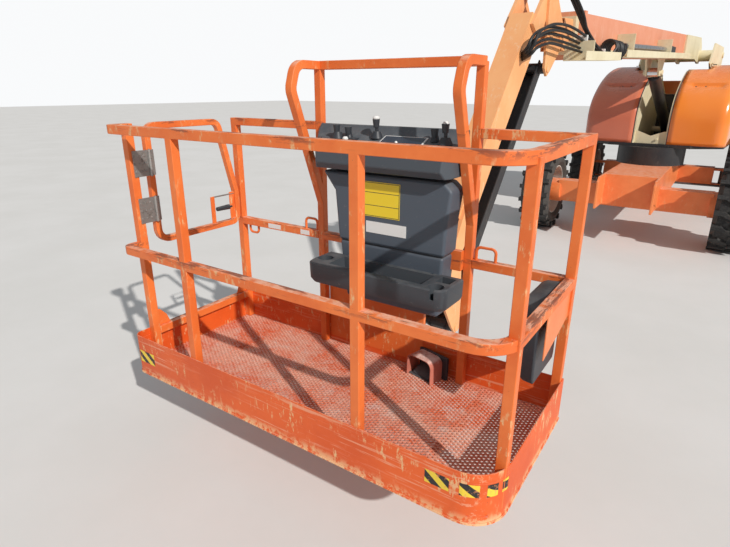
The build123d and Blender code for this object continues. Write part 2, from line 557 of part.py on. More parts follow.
# Knuckle at the boom's nose: two plates with the pins of boom, jib, link and jib cylinder
with BuildPart() as nose_knuckle:
    for side in (-1, 1):
        with BuildSketch(seat(KNUCKLE, Plane.YZ.offset(side * KNUCKLE_GAP))):
            with BuildLine():
                Polyline((-50, 0), (-30, 55), (30, 55), (NOSE_PIN_BACK + 60, -NOSE_PIN_BELOW + 50),
                         (NOSE_PIN_BACK + 60, -NOSE_PIN_BELOW - 40), (LINK_PIN_BACK + 45, -LINK_PIN_BELOW - 20),
                         (LINK_PIN_BACK, -LINK_PIN_BELOW - 50), (LINK_PIN_BACK - 50, -LINK_PIN_BELOW), close=True)
            make_face()
        extrude(amount=side * KNUCKLE_PLATE)
    for back, below in ((0, 0), (NOSE_PIN_BACK, NOSE_PIN_BELOW), (LINK_PIN_BACK, LINK_PIN_BELOW),
                        (JIB_BARREL_BACK, JIB_BARREL_BELOW)):
        with Locations(KNUCKLE * Location((0, back, -below), (0, 90, 0))):
            Cylinder(JIB_PIN_RADIUS, 2 * KNUCKLE_GAP + 2 * KNUCKLE_PLATE + 16)
save(nose_knuckle.part, "nose_knuckle")

# Jib tube with forked ends
with BuildPart() as jib:
    with BuildSketch(seat(JIB * Location((0, -220, 0)), Plane.XZ)):
        Rectangle(JIB_WIDTH, JIB_DEPTH)
        Rectangle(JIB_WIDTH - 2 * JIB_WALL, JIB_DEPTH - 2 * JIB_WALL, mode=Mode.SUBTRACT)
    extrude(amount=JIB_LENGTH - 440)
    for side in (-1, 1):
        for start, finish in ((0, -300), (-JIB_LENGTH, -JIB_LENGTH + 300)):
            step = 60 if finish < start else -60
            with BuildSketch(seat(JIB, Plane.YZ.offset(side * (KNUCKLE_GAP - RUNNING_GAP - 24)))):
                with BuildLine():
                    Polyline((start + step, 45), (finish, 80), (finish, -80), (start + step, -45), close=True)
                make_face()
                with Locations((start, 0)):
                    Circle(55)
            extrude(amount=side * 24)
    slot_mid = -(220 + JIB_ROD_ALONG + 90) / 2
    with Locations(JIB * Location((0, slot_mid, -JIB_DEPTH / 2))):
        Box(JIB_SLOT_WIDTH, JIB_ROD_ALONG + 90 - 220, 3 * JIB_WALL, mode=Mode.SUBTRACT)
    for side in (-1, 1):
        with Locations(JIB * Location((side * (JIB_WIDTH / 2 + 6), -JIB_ROD_ALONG, -JIB_ROD_OFFSET), (0, 90, 0))):
            Cylinder(2 * JIB_ROD_PIN, 12)
    for along in (0, -JIB_LENGTH):
        with Locations(JIB * Location((0, along, 0), (0, 90, 0))):
            Cylinder(JIB_PIN_RADIUS + PIN_GAP, 300, mode=Mode.SUBTRACT)
save(jib.part, "jib")

# Channel-shaped parallel link, open towards the jib
LINK = KNUCKLE * Location((0, LINK_PIN_BACK, -LINK_PIN_BELOW)) * Location((0, 0, 0), (JIB_SLOPE, 0, 0))
with BuildPart() as jib_link:
    with BuildSketch(seat(LINK * Location((0, 40, 0)), Plane.XZ)):
        Rectangle(LINK_WIDTH, LINK_DEPTH)
        with Locations((0, 8)):
            Rectangle(LINK_WIDTH - 16, LINK_DEPTH, mode=Mode.SUBTRACT)
    extrude(amount=JIB_LENGTH + 80)
    for along in (0, -JIB_LENGTH):
        with Locations(LINK * Location((0, along, 0), (0, 90, 0))):
            Cylinder(JIB_PIN_RADIUS + 9, 2 * KNUCKLE_GAP - 2 * RUNNING_GAP)
            Cylinder(JIB_PIN_RADIUS + PIN_GAP, 300, mode=Mode.SUBTRACT)
save(jib_link.part, "jib_link")

# Jib cylinder between knuckle and jib
barrel_pin = KNUCKLE * Location((0, JIB_BARREL_BACK, -JIB_BARREL_BELOW))
rod_pin = JIB * Location((0, -JIB_ROD_ALONG, -JIB_ROD_OFFSET))
reach_jib = (barrel_pin.inverse() * rod_pin).position
jib_cyl_length = hypot(reach_jib.Y, reach_jib.Z)
jib_cyl_angle = degrees(atan2(reach_jib.Z, -reach_jib.Y))
JIB_CYLINDER = barrel_pin * Location((0, 0, 0), (-jib_cyl_angle, 0, 0))
with BuildPart() as jib_barrel:
    with BuildSketch(seat(JIB_CYLINDER * Location((0, -30, 0)), Plane.XZ)):
        Circle(JIB_CYLINDER_RADIUS)
        Circle(JIB_ROD_RADIUS + RUNNING_GAP, mode=Mode.SUBTRACT)
    extrude(amount=jib_cyl_length - 90)
    with Locations(JIB_CYLINDER * Location((0, 0, 0), (0, 90, 0))):
        Cylinder(42, JIB_BARREL_EYE)
        Cylinder(JIB_PIN_RADIUS + PIN_GAP, 300, mode=Mode.SUBTRACT)
save(jib_barrel.part, "jib_barrel")
with BuildPart() as jib_rod:
    with BuildSketch(seat(JIB_CYLINDER * Location((0, -75, 0)), Plane.XZ)):
        Circle(JIB_ROD_RADIUS)
    extrude(amount=jib_cyl_length - 75)
    with Locations(JIB_CYLINDER * Location((0, -jib_cyl_length, 0), (0, 90, 0))):
        Cylinder(30, 70)
        Cylinder(JIB_ROD_PIN, JIB_SLOT_WIDTH - 10)
save(jib_rod.part, "jib_rod")

# Support at the jib's end, which carries the rotator
rotator_seat = PLATFORM * Location((PLATFORM_LENGTH / 2, PLATFORM_DEPTH + ROTATOR_FROM_REAR, 0))
rotator_local = (SUPPORT.inverse() * rotator_seat).position
rotator_x = rotator_local.X
rotator_y = rotator_local.Y
with BuildPart() as platform_support:
    for side in (-1, 1):
        with BuildSketch(seat(SUPPORT, Plane.YZ.offset(side * KNUCKLE_GAP))):
            with BuildLine():
                Polyline((50, 20), (10, 50), (-60, 40), (-100, 10), (rotator_y, -10), (rotator_y, -180),
                         (rotator_y + SUPPORT_SHELF, -200), (LINK_PIN_BACK - 60, -LINK_PIN_BELOW + 20), (LINK_PIN_BACK - 10, -LINK_PIN_BELOW - 40),
                         (LINK_PIN_BACK + 45, -LINK_PIN_BELOW), (LINK_PIN_BACK + 45, -LINK_PIN_BELOW + 60),
                         close=True)
            make_face()
        extrude(amount=side * KNUCKLE_PLATE)
    for back, below in ((0, 0), (LINK_PIN_BACK, LINK_PIN_BELOW)):
        with Locations(SUPPORT * Location((0, back, -below), (0, 90, 0))):
            Cylinder(JIB_PIN_RADIUS, 2 * KNUCKLE_GAP + 2 * KNUCKLE_PLATE + 16)
    housing_mid = (ROTATOR_BOTTOM + ROTATOR_TOP) / 2 - PLATFORM_CLEARANCE
    with Locations(rotator_seat * Location((0, 0, housing_mid))):
        Cylinder(ROTATOR_RADIUS, ROTATOR_TOP - ROTATOR_BOTTOM - 2 * RUNNING_GAP)
save(platform_support.part, "platform_support")

# Bracket that swings on the rotator and carries the platform
with BuildPart() as rotator_bracket:
    for level, rise in ((ROTATOR_BOTTOM, -20), (ROTATOR_TOP, 20)):
        with BuildSketch(seat(rotator_seat, Plane.XY.offset(level - PLATFORM_CLEARANCE))):
            Circle(ROTATOR_RADIUS)
            with BuildLine():
                Polyline((-ROTATOR_RADIUS, 0), (ROTATOR_RADIUS, 0), (220, -ROTATOR_FROM_REAR + 20),
                         (-220, -ROTATOR_FROM_REAR + 20), close=True)
            make_face()
        extrude(amount=rise)
    plate_low = ROTATOR_BOTTOM - PLATFORM_CLEARANCE - 60
    plate_high = ROTATOR_TOP - PLATFORM_CLEARANCE + 60
    with Locations(rotator_seat * Location((0, -ROTATOR_FROM_REAR + 10, (plate_low + plate_high) / 2))):
        Box(560, 20, plate_high - plate_low)
save(rotator_bracket.part, "rotator_bracket")

# Platform deck with its toe boards
with BuildPart() as deck:
    with BuildSketch(seat(PLATFORM, Plane.XY.offset(DECK_HEIGHT - SHEET))):
        with Locations((PLATFORM_LENGTH / 2, PLATFORM_DEPTH / 2)):
            Rectangle(PLATFORM_LENGTH - 2 * SHEET, PLATFORM_DEPTH - 2 * SHEET)
        fillet(vertices().group_by(Axis.Y)[0], CORNER_RADIUS - SHEET)
    extrude(amount=SHEET)
save(deck.part, "deck")

with BuildPart() as toe_boards:
    with BuildSketch(seat(PLATFORM, Plane.XY)):
        with Locations((PLATFORM_LENGTH / 2, PLATFORM_DEPTH / 2)):
            Rectangle(PLATFORM_LENGTH, PLATFORM_DEPTH)
        fillet(vertices().group_by(Axis.Y)[0], CORNER_RADIUS)
        offset(amount=-SHEET, mode=Mode.SUBTRACT)
    extrude(amount=TOE_HEIGHT)
save(toe_boards.part, "toe_boards")


# A rail of square tube along a plan path of the platform
def rail_height(top):
    return top - TUBE / 2


inset = TUBE / 2
post_x = (480.0, 1340.0)
end_y = 160.0
rear_y = PLATFORM_DEPTH - inset - SHEET
left_x = inset + SHEET
right_x = PLATFORM_LENGTH - inset - SHEET
near_y = inset + SHEET
bend = CORNER_RADIUS - inset
guard_left = CONSOLE_X - GUARD_HALF_WIDTH
guard_right = CONSOLE_X + GUARD_HALF_WIDTH

hinge_x = left_x + TUBE / 2 + HINGE_BARREL
hinge_y = end_y + TUBE / 2 + HINGE_BARREL
with BuildPart() as guard_rails:
    for top in (TOP_RAIL_TOP, MID_RAIL_TOP):
        level = rail_height(top)
        with BuildLine(seat(PLATFORM, Plane.XY.offset(level))) as rail_path:
            FilletPolyline((left_x, end_y), (left_x, near_y), (right_x, near_y), (right_x, rear_y + TUBE / 2),
                           radius=bend - SHEET)
        with BuildSketch(seat(PLATFORM * Location((left_x, end_y, level)), Plane.XZ)):
            Rectangle(TUBE, TUBE)
        sweep(path=rail_path.wires()[0])
    # x, y of each post
    for x, y in ((post_x[0], near_y), (post_x[1], near_y), (left_x, end_y), (right_x, end_y),
                 (left_x, rear_y), (right_x, rear_y)):
        with BuildSketch(seat(PLATFORM * Location((x, y, 0)), Plane.XY.offset(DECK_HEIGHT))):
            Rectangle(TUBE, TUBE)
        extrude(amount=TOP_RAIL_TOP - TUBE / 2 - DECK_HEIGHT)
    for level in (rail_height(TOP_RAIL_TOP), rail_height(MID_RAIL_TOP)):
        for start, finish in ((left_x - TUBE / 2, guard_left - TUBE / 2), (guard_right + TUBE / 2, right_x)):
            with Locations(PLATFORM * Location(((start + finish) / 2, rear_y, level))):
                Box(finish - start, TUBE, TUBE)
    for hinge_z in HINGE_HEIGHTS:
        with Locations(PLATFORM * Location((left_x + TUBE / 2 + HINGE_LEAF / 2, end_y - 0.5, hinge_z))):
            Box(HINGE_LEAF, TUBE - 1, HINGE_HEIGHT)
        for end in (-1, 1):
            knuckle_z = hinge_z + end * HINGE_HEIGHT / 3
            with Locations(PLATFORM * Location((left_x + TUBE / 2 + HINGE_LEAF / 2, hinge_y - 8, knuckle_z))):
                Box(HINGE_LEAF, 16, HINGE_HEIGHT / 3)
            with Locations(PLATFORM * Location((hinge_x, hinge_y, hinge_z + end * HINGE_HEIGHT / 3))):
                Cylinder(HINGE_BARREL, HINGE_HEIGHT / 3)
        with Locations(PLATFORM * Location((hinge_x, hinge_y, hinge_z))):
            Cylinder(HINGE_PIN, HINGE_HEIGHT)
save(guard_rails.part, "guard_rails")

# Guard frame round the console
with BuildPart() as console_guard:
    for x in (guard_left, guard_right):
        with BuildSketch(seat(PLATFORM * Location((x, rear_y, 0)), Plane.XY.offset(DECK_HEIGHT))):
            Rectangle(TUBE, TUBE)
        extrude(amount=GUARD_TOP - TUBE - DECK_HEIGHT)
    with Locations(PLATFORM * Location((CONSOLE_X, rear_y, GUARD_TOP - TUBE / 2))):
        Box(2 * GUARD_HALF_WIDTH + TUBE, TUBE, TUBE)
    with Locations(PLATFORM * Location((CONSOLE_X, rear_y, rail_height(MID_RAIL_TOP)))):
        Box(2 * GUARD_HALF_WIDTH, TUBE, TUBE)
save(console_guard.part, "console_guard")

# Control console with its top panel and the tray in front
with BuildPart() as console:
    back = rear_y - TUBE / 2 - RUNNING_GAP
    with BuildSketch(seat(PLATFORM * Location((CONSOLE_X, 0, 0)), Plane.YZ)):
        with BuildLine():
            Polyline((back, 380), (back, 1120), (560, 1060), (560, 1000), (620, 990), (620, 380), close=True)
        make_face()
    extrude(amount=310, both=True)
save(console.part, "console")

# Entry gate: a loop of round tube that swings inwards on the near left post
gate_near = end_y + TUBE / 2 + GATE_HINGE_GAP + GATE_TUBE / 2
gate_far = rear_y - TUBE / 2 - 8 - GATE_TUBE / 2
gate_low = MID_RAIL_TOP - GATE_TUBE / 2
gate_high = TOP_RAIL_TOP - GATE_TUBE / 2
gate_mid = (gate_near + gate_far) / 2
# Outline on each side of the loop's middle: y at the top, y at the bottom
gate_sides = ((gate_near, gate_near), (gate_far - 60, gate_far))
with BuildPart() as gate:
    for top_y, bottom_y in gate_sides:
        with BuildLine(seat(PLATFORM * Location((left_x, 0, 0)), Plane.YZ)) as gate_path:
            FilletPolyline((gate_mid, gate_high), (top_y, gate_high), (bottom_y, gate_low),
                           (gate_mid, gate_low), radius=60)
        with BuildSketch(Plane(gate_path.wires()[0] ^ 0)):
            Circle(GATE_TUBE / 2)
        sweep(path=gate_path.wires()[0])
    for hinge_z in HINGE_HEIGHTS:
        leaf_y = (hinge_y + gate_near) / 2
        with Locations(PLATFORM * Location((hinge_x, hinge_y, hinge_z))):
            Cylinder(HINGE_BARREL, HINGE_HEIGHT / 3 - 2 * RUNNING_GAP)
        with Locations(PLATFORM * Location((left_x + GATE_TUBE / 2 + 1, leaf_y + 5, hinge_z))):
            Box(12, gate_near - hinge_y + 4, HINGE_HEIGHT / 3 - 2 * RUNNING_GAP)
        with Locations(PLATFORM * Location((hinge_x, hinge_y, hinge_z))):
            Cylinder(HINGE_PIN + PIN_GAP, HINGE_HEIGHT, mode=Mode.SUBTRACT)
save(gate.part, "gate")

# Foot switch under its bent guard
with BuildPart() as foot_switch:
    with BuildSketch(seat(PLATFORM * Location((1285, 0, DECK_HEIGHT)), Plane.YZ)):
        with BuildLine():
            Polyline((560, 0), (560, 12), (590, 45), (700, 45), (700, 130), (590, 130), (590, 136), (706, 136),
                     (706, 0), close=True)
        make_face()
    extrude(amount=100, both=True)
save(foot_switch.part, "foot_switch")

# Box for papers, hung inside the right end rail
with BuildPart() as manual_box:
    with Locations(PLATFORM * Location((right_x - TUBE / 2 - RUNNING_GAP - 45, 570, 455))):
        Box(90, 280, 370)
save(manual_box.part, "manual_box")
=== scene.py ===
import json
from math import atan2, cos, pi, radians, sin, sqrt, tan

import bmesh
import bpy
from mathutils import Matrix, Vector

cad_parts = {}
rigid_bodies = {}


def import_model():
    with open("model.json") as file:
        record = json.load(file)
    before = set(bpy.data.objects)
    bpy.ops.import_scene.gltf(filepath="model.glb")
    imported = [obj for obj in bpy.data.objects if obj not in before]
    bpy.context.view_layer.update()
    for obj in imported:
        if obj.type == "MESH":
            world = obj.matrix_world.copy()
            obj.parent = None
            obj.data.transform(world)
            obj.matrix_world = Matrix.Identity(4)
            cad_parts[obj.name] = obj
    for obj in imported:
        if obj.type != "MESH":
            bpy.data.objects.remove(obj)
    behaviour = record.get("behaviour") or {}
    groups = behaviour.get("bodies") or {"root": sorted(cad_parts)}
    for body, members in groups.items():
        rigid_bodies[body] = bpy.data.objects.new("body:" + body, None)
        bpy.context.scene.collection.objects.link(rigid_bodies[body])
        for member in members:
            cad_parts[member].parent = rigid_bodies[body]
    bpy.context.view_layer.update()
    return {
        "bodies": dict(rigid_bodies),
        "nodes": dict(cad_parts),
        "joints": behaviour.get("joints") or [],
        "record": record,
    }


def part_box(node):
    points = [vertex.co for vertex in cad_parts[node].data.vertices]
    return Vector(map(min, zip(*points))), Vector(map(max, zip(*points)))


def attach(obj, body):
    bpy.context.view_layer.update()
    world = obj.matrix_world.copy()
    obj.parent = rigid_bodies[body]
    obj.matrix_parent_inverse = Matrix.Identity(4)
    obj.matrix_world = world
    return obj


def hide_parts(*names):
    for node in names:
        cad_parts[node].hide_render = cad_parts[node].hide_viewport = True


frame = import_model()
nodes = frame["nodes"]
joints = {joint["name"]: joint for joint in frame["joints"]}
scene = bpy.context.scene

# Camera of the photograph, in metres and degrees
CAMERA_PLACE = (0.938, -5.966, 1.761)
CAMERA_LENS = 25.70
CAMERA_DOWN = 19.48
CAMERA_LEFT = 34.22
CAMERA_ROLL = 0.14

# Light, backdrop and floor
SUN_ELEVATION = 33.0
SUN_FROM = 64.0
SUN_STRENGTH = 3.3
SUN_SOFTNESS = 0.9
SUN_COLOR = (1.0, 0.965, 0.92)
SKY_STRENGTH = 0.36
SKY_COLOR = (0.90, 0.95, 1.0)
BACKDROP_COLOR = (0.95, 0.96, 0.97)
FLOOR_REACH = 60.0

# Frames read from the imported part: the platform's low corner, and the slew axis with the boom along -y
platform_low, platform_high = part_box("toe_boards")
slew_axis = Vector(joints["slew"]["pos_m"])
lift_axis = Vector(joints["lift"]["axis"])
boom_turn = atan2(-lift_axis.y, -lift_axis.x)
PLATFORM = Matrix.Translation(platform_low)
UPPER = Matrix.Translation((slew_axis.x, slew_axis.y, 0)) @ Matrix.Rotation(boom_turn, 4, "Z")
hinge = PLATFORM.inverted() @ Vector(joints["gate_swing"]["pos_m"])

# Work platform, in metres from its near left bottom corner
LENGTH = 1.857
DEPTH = 0.770
GATE_CORNER = 0.045
FAR_CORNER = 0.140
LIP = 0.003
LIP_HEIGHT = 0.010
SHEET = 0.005
BOARD_HEIGHT = 0.200
SILL = 0.165
DECK_TOP = 0.040
CROSS_BARS_X = (0.30, 0.70, 1.13, 1.53)
TUBE = 0.038
# Posts and hoops are a little thinner than the rails, so that no two faces share a plane
POST = TUBE - 0.0006
HOOP = TUBE - 0.0012
TOP_RAIL = 1.168
MID_RAIL = 0.631
RAIL_INSET = LIP + SHEET + TUBE / 2
LEFT_X = RAIL_INSET
NEAR_Y = RAIL_INSET
RIGHT_X = LENGTH - RAIL_INSET
REAR_Y = DEPTH - RAIL_INSET
REAR_FACE = REAR_Y - TUBE / 2
END_POST_Y = 0.108
GATE_START = END_POST_Y + TUBE / 2
SEAT = 0.0003

# Expanded metal of the deck: diamonds in staggered rows, each with a sunk hole
MESH_LONG = 0.030
MESH_SHORT = 0.019
MESH_HOLE = 0.60
MESH_THICK = 0.0055
MESH_SINK = 0.0012
MESH_INSET = 0.009
MESH_NEAR_CORNER = 0.037

# Gate and its hinges
HINGE_LEVELS = (0.795, 1.010)
HINGE_SHEET = 0.005
HINGE_RADIUS = 0.009
LEAF_HALF = 0.0585
GATE_TUBE = 0.030
GATE_NEAR = 0.197
GATE_FAR = REAR_FACE - 0.008 - GATE_TUBE / 2
GATE_TOP = 1.172
GATE_FOOT = 0.635
GATE_KNEE = 0.800

# Console and its guard
CONSOLE_X = 1.010
CONSOLE_BACK = REAR_FACE - SEAT
CONSOLE_FRONT = 0.600
GUARD_LEFT = CONSOLE_X - 0.398
GUARD_RIGHT = CONSOLE_X + 0.398
GUARD_BAR = 1.433
TRAY_HALF = 0.344
TRAY_X = CONSOLE_X + 0.091
TRAY_FRONT = 0.430
TRAY_BACK = 0.612
TRAY_TOP = 0.600
TRAY_BOTTOM = 0.500
TRAY_CORNER = 0.045
# y and height of the control panel's slope, at its foot and at its head
SLOPE_FOOT = (0.530, 1.078)
SLOPE_HEAD = (0.690, 1.148)

# Turntable and hoods, in metres from the slew axis on the ground
TURNTABLE_TOP = 1.075
HOOD_WALL = 0.012
HOOD_OUT = 0.870
HOOD_IN = 0.215
HOOD_SPLIT = 0.450
HOOD_EDGE = 0.130
HOOD_FOOT = 1.0753
HOOD_FRONT = -0.280
HOOD_TOP = 2.085
SHOULDER = 1.350
SHOULDER_RADIUS = 0.520
SHOULDER_TURN = 50.0
CROWN_END = 1.240
TAIL_RADIUS = 0.260
TAIL_TURN = 77.6
EAR_FRONT = 0.430
EAR_REACH = EAR_FRONT + 0.01
BOOM_PIN_Y = 1.600
BOOM_PIN_Z = 2.250
HOOD_HINGES_Y = (0.620, 1.080)
HOOD_HINGE_X = 0.455
HOOD_HINGE_Z = 2.098
# Grip pressed into the hood's front: middle and half width, angle where it starts, degrees it takes, depth
GRIP_MIDDLE = 0.520
GRIP_HALF = 0.185
GRIP_EDGE = 0.03
GRIP_ANGLE = 124.4
GRIP_TURN = 7
GRIP_DEPTH = 0.028
PLUG_ANGLE = 125.6

# The crown's arc goes on from the shoulder's arc without a corner and ends level
shoulder_turn = radians(SHOULDER_TURN)
shoulder_end_y = HOOD_FRONT + SHOULDER_RADIUS * (1 - cos(shoulder_turn))
shoulder_end_z = SHOULDER + SHOULDER_RADIUS * sin(shoulder_turn)
crown_radius = (HOOD_TOP - shoulder_end_z) / (1 - sin(shoulder_turn))
crown_y = shoulder_end_y + crown_radius * cos(shoulder_turn)
crown_z = HOOD_TOP - crown_radius

# Shading and small radii
SHARP_ANGLE = 35.0
BEVEL_ANGLE = 40.0
COAT_ROUGHNESS = 0.12


# Materials

class Look:
    """A material whose shader nodes are added by short calls."""

    def __init__(self, name):
        self.material = bpy.data.materials.new(name)
        self.material.use_nodes = True
        self.tree = self.material.node_tree
        self.shader = self.tree.nodes["Principled BSDF"]
        coordinates = self.add("ShaderNodeTexCoord")
        self.place = coordinates.outputs["Object"]
        self.facing = coordinates.outputs["Normal"]

    def join(self, source, socket):
        """Links an output to the socket, or sets the socket to a number, a vector or a colour."""
        if isinstance(source, tuple) and socket.type == "RGBA":
            source = (*source, 1.0)
        if isinstance(source, (int, float, tuple)):
            socket.default_value = source
        else:
            self.tree.links.new(source, socket)

    def add(self, kind, inputs=(), **settings):
        node = self.tree.nodes.new(kind)
        for key, value in settings.items():
            setattr(node, key, value)
        for key, source in dict(inputs).items():
            self.join(source, node.inputs[key])
        return node

    def noise(self, scale, detail, rough, stretch=(1, 1, 1), shift=0.0):
        """Clouds from 0 to 1; the shift takes them from another place."""
        mapping = self.add("ShaderNodeMapping", {"Vector": self.place, "Scale": stretch,
                                                 "Location": (shift, shift * 0.7, shift * 1.3)})
        node = self.add("ShaderNodeTexNoise", {"Vector": mapping.outputs["Vector"], "Scale": scale,
                                               "Detail": detail, "Roughness": rough})
        return node.outputs["Fac"]

    def ramp(self, value, low, high, reverse=False):
        """Rises softly from 0 at low to 1 at high, or falls where it is reversed."""
        start, finish = (1.0, 0.0) if reverse else (0.0, 1.0)
        node = self.add("ShaderNodeMapRange", {"Value": value, "From Min": low, "From Max": high,
                                               "To Min": start, "To Max": finish},
                        interpolation_type="SMOOTHSTEP")
        return node.outputs["Result"]

    def spots(self, scale, detail, rough, low, high, **placed):
        """Where clouds are dense, with an edge as soft as low and high are apart."""
        return self.ramp(self.noise(scale, detail, rough, **placed), low, high)

    def upward(self, low, high):
        """Where the surface faces up."""
        return self.ramp(self.axis(self.facing, "Z"), low, high)

    def math(self, kind, first, second=0.0):
        return self.add("ShaderNodeMath", {0: first, 1: second}, operation=kind).outputs["Value"]

    def times(self, first, *others):
        for other in others:
            first = self.math("MULTIPLY", first, other)
        return first

    def plus(self, first, second):
        return self.math("ADD", first, second)

    def mix(self, factor, first, second):
        """The first colour where the factor is 0, the second where it is 1."""
        node = self.add("ShaderNodeMix", {"Factor": factor, "A": first, "B": second}, data_type="RGBA")
        return node.outputs["Result"]

    def axis(self, vector, letter):
        return self.add("ShaderNodeSeparateXYZ", {"Vector": vector}).outputs[letter]

    def bump(self, height, strength, distance=0.001):
        node = self.add("ShaderNodeBump", {"Height": height, "Strength": strength, "Distance": distance})
        self.join(node.outputs["Normal"], self.shader.inputs["Normal"])

    def finish(self, color, roughness, metallic=0.0, coat=0.0, specular=0.5):
        settings = {"Base Color": color, "Roughness": roughness, "Metallic": metallic, "Coat Weight": coat,
                    "Coat Roughness": COAT_ROUGHNESS, "Specular IOR Level": specular}
        for key, source in settings.items():
            self.join(source, self.shader.inputs[key])
        return self.material


ORANGE_PRIMER = (0.80, 0.52, 0.26)
DARK_STEEL = (0.075, 0.045, 0.035)
RUST = (0.20, 0.055, 0.03)
GRIME = (0.10, 0.075, 0.055)
GREY_DUST = (0.30, 0.30, 0.29)


def rail_rust(look, up):
    """Streaks along the rails, on top and in a band along the upper edge of their sides."""
    along, inward = [look.spots(30.0, 5.0, 0.75, 0.51, 0.59, stretch=stretch, shift=shift)
                     for stretch, shift in (((0.14, 1.0, 1.0), 23.0), ((1.0, 0.14, 1.0), 29.0))]
    middle = (platform_low.x + platform_high.x) / 2
    off = look.math("ABSOLUTE", look.math("SUBTRACT", look.axis(look.place, "X"), middle))
    at_end = look.math("GREATER_THAN", off, 0.87)
    between = look.math("SUBTRACT", 1.0, at_end)
    rust = look.math("MAXIMUM", look.times(inward, at_end), look.times(along, between))
    for level in (TOP_RAIL, MID_RAIL):
        height = look.math("SUBTRACT", look.axis(look.place, "Z"), platform_low.z + level)
        band = look.times(look.ramp(height, -0.014, 0.018), look.math("LESS_THAN", height, 0.0195))
        up = look.math("MAXIMUM", up, band)
    return look.times(rust, up)


def board_wear(look, color, scrapes):
    """Long scrapes on the toe board's front and back, and paint gone along its foot."""
    front = look.ramp(look.math("ABSOLUTE", look.axis(look.facing, "Y")), 0.6, 0.9)
    line = look.spots(75.0, 4.0, 0.7, 0.555, 0.62, stretch=(0.035, 1.0, 1.0), shift=31.0)
    worn = look.spots(3.0, 3.0, 0.6, 0.36, 0.56, stretch=(0.5, 1.0, 2.0), shift=37.0)
    color = look.mix(look.times(line, worn, front, scrapes), color, (0.86, 0.42, 0.26))
    near_foot = look.ramp(look.axis(look.place, "Z"), platform_low.z, platform_low.z + 0.05, reverse=True)
    bare = look.spots(26.0, 6.0, 0.75, 0.44, 0.54, shift=41.0)
    return look.mix(look.times(near_foot, bare), color, (0.86, 0.50, 0.26))


def worn_paint(name, paint, deep, faded, primer, fade, scratch, shine, streaks=0.0, scrapes=0.0):
    """Painted steel in two tones, faded on top, scratched to the primer and nicked to dark metal."""
    look = Look(name)
    fine = look.noise(60.0, 3.0, 0.6)
    up = look.upward(0.55, 0.95)
    color = look.mix(look.spots(3.1, 5.0, 0.65, 0.35, 0.68), paint, deep)
    chalk = look.times(up, look.spots(17.0, 6.0, 0.7, 0.36, 0.6, shift=3.0), fade)
    color = look.mix(chalk, color, faded)
    patch = look.spots(5.0, 3.0, 0.6, 0.44, 0.6, shift=7.0)
    streak = look.spots(42.0, 5.0, 0.75, 0.555, 0.625, stretch=(1.0, 1.0, 0.32), shift=11.0)
    rubbed = look.times(patch, streak, scratch)
    color = look.mix(rubbed, color, primer)
    nick = look.times(look.spots(95.0, 4.0, 0.7, 0.68, 0.73, shift=19.0), scratch * 0.8)
    color = look.mix(nick, color, DARK_STEEL)
    if streaks:
        color = look.mix(look.times(rail_rust(look, up), streaks), color, RUST)
    if scrapes:
        color = board_wear(look, color, scrapes)
    rough = look.plus(look.times(chalk, 0.25), look.plus(shine, look.times(fine, 0.12)))
    look.bump(look.plus(look.times(fine, 0.25), look.times(rubbed, -1.0)), 0.35)
    return look.finish(color, rough)


def moulded_plastic(name, color, shine, dust=GREY_DUST, dusty=0.35):
    """Moulded plastic with a fine grain, light scuffs and pale dust on what faces up."""
    look = Look(name)
    film = look.times(look.upward(0.3, 0.95), look.spots(9.0, 6.0, 0.7, 0.3, 0.75), dusty)
    scuff = look.times(look.spots(33.0, 5.0, 0.75, 0.62, 0.7, shift=5.0), 0.25)
    tone = look.mix(look.plus(film, scuff), color, dust)
    look.bump(look.noise(420.0, 2.0, 0.5), 0.22, 0.0006)
    return look.finish(tone, look.plus(shine, look.times(film, 0.3)))


def glossy_hood(name, paint, deep):
    """Glossy coloured hood with a soft bloom of sun and dust."""
    look = Look(name)
    film = look.times(look.upward(0.45, 1.0), look.spots(7.0, 6.0, 0.7, 0.25, 0.8))
    color = look.mix(look.spots(1.6, 3.0, 0.5, 0.3, 0.7), paint, deep)
    color = look.mix(look.times(film, 0.3), color, (0.93, 0.47, 0.27))
    look.bump(look.noise(2.6, 2.0, 0.4), 0.05, 0.01)
    return look.finish(color, look.plus(0.2, look.times(film, 0.2)), coat=0.5)


def tyre_rubber():
    """Near black tread and greyer, dusty side walls."""
    look = Look("tyre_rubber")
    wall = look.ramp(look.math("ABSOLUTE", look.axis(look.facing, "X")), 0.55, 0.95)
    dust = look.spots(8.0, 7.0, 0.72, 0.32, 0.72)
    worn = look.spots(55.0, 4.0, 0.7, 0.45, 0.7)
    color = look.mix(look.times(dust, 0.45), (0.018, 0.018, 0.02), (0.085, 0.08, 0.073))
    color = look.mix(look.times(wall, 0.5), color, (0.13, 0.122, 0.11))
    color = look.mix(look.times(worn, 0.2), color, (0.17, 0.155, 0.14))
    look.bump(look.noise(160.0, 3.0, 0.6), 0.3)
    return look.finish(color, 0.82, specular=0.3)


def bare_metal(name, color, shine, dirt, metallic=1.0):
    """Plated or bare steel with dirt and light brushing."""
    look = Look(name)
    grime = look.spots(24.0, 6.0, 0.7, 0.5, 0.72, shift=2.0)
    tone = look.mix(look.times(grime, dirt), color, GRIME)
    look.bump(look.noise(90.0, 3.0, 0.6, stretch=(1.0, 1.0, 6.0)), 0.08, 0.0005)
    return look.finish(tone, look.plus(shine, look.times(grime, 0.3)), metallic=metallic)


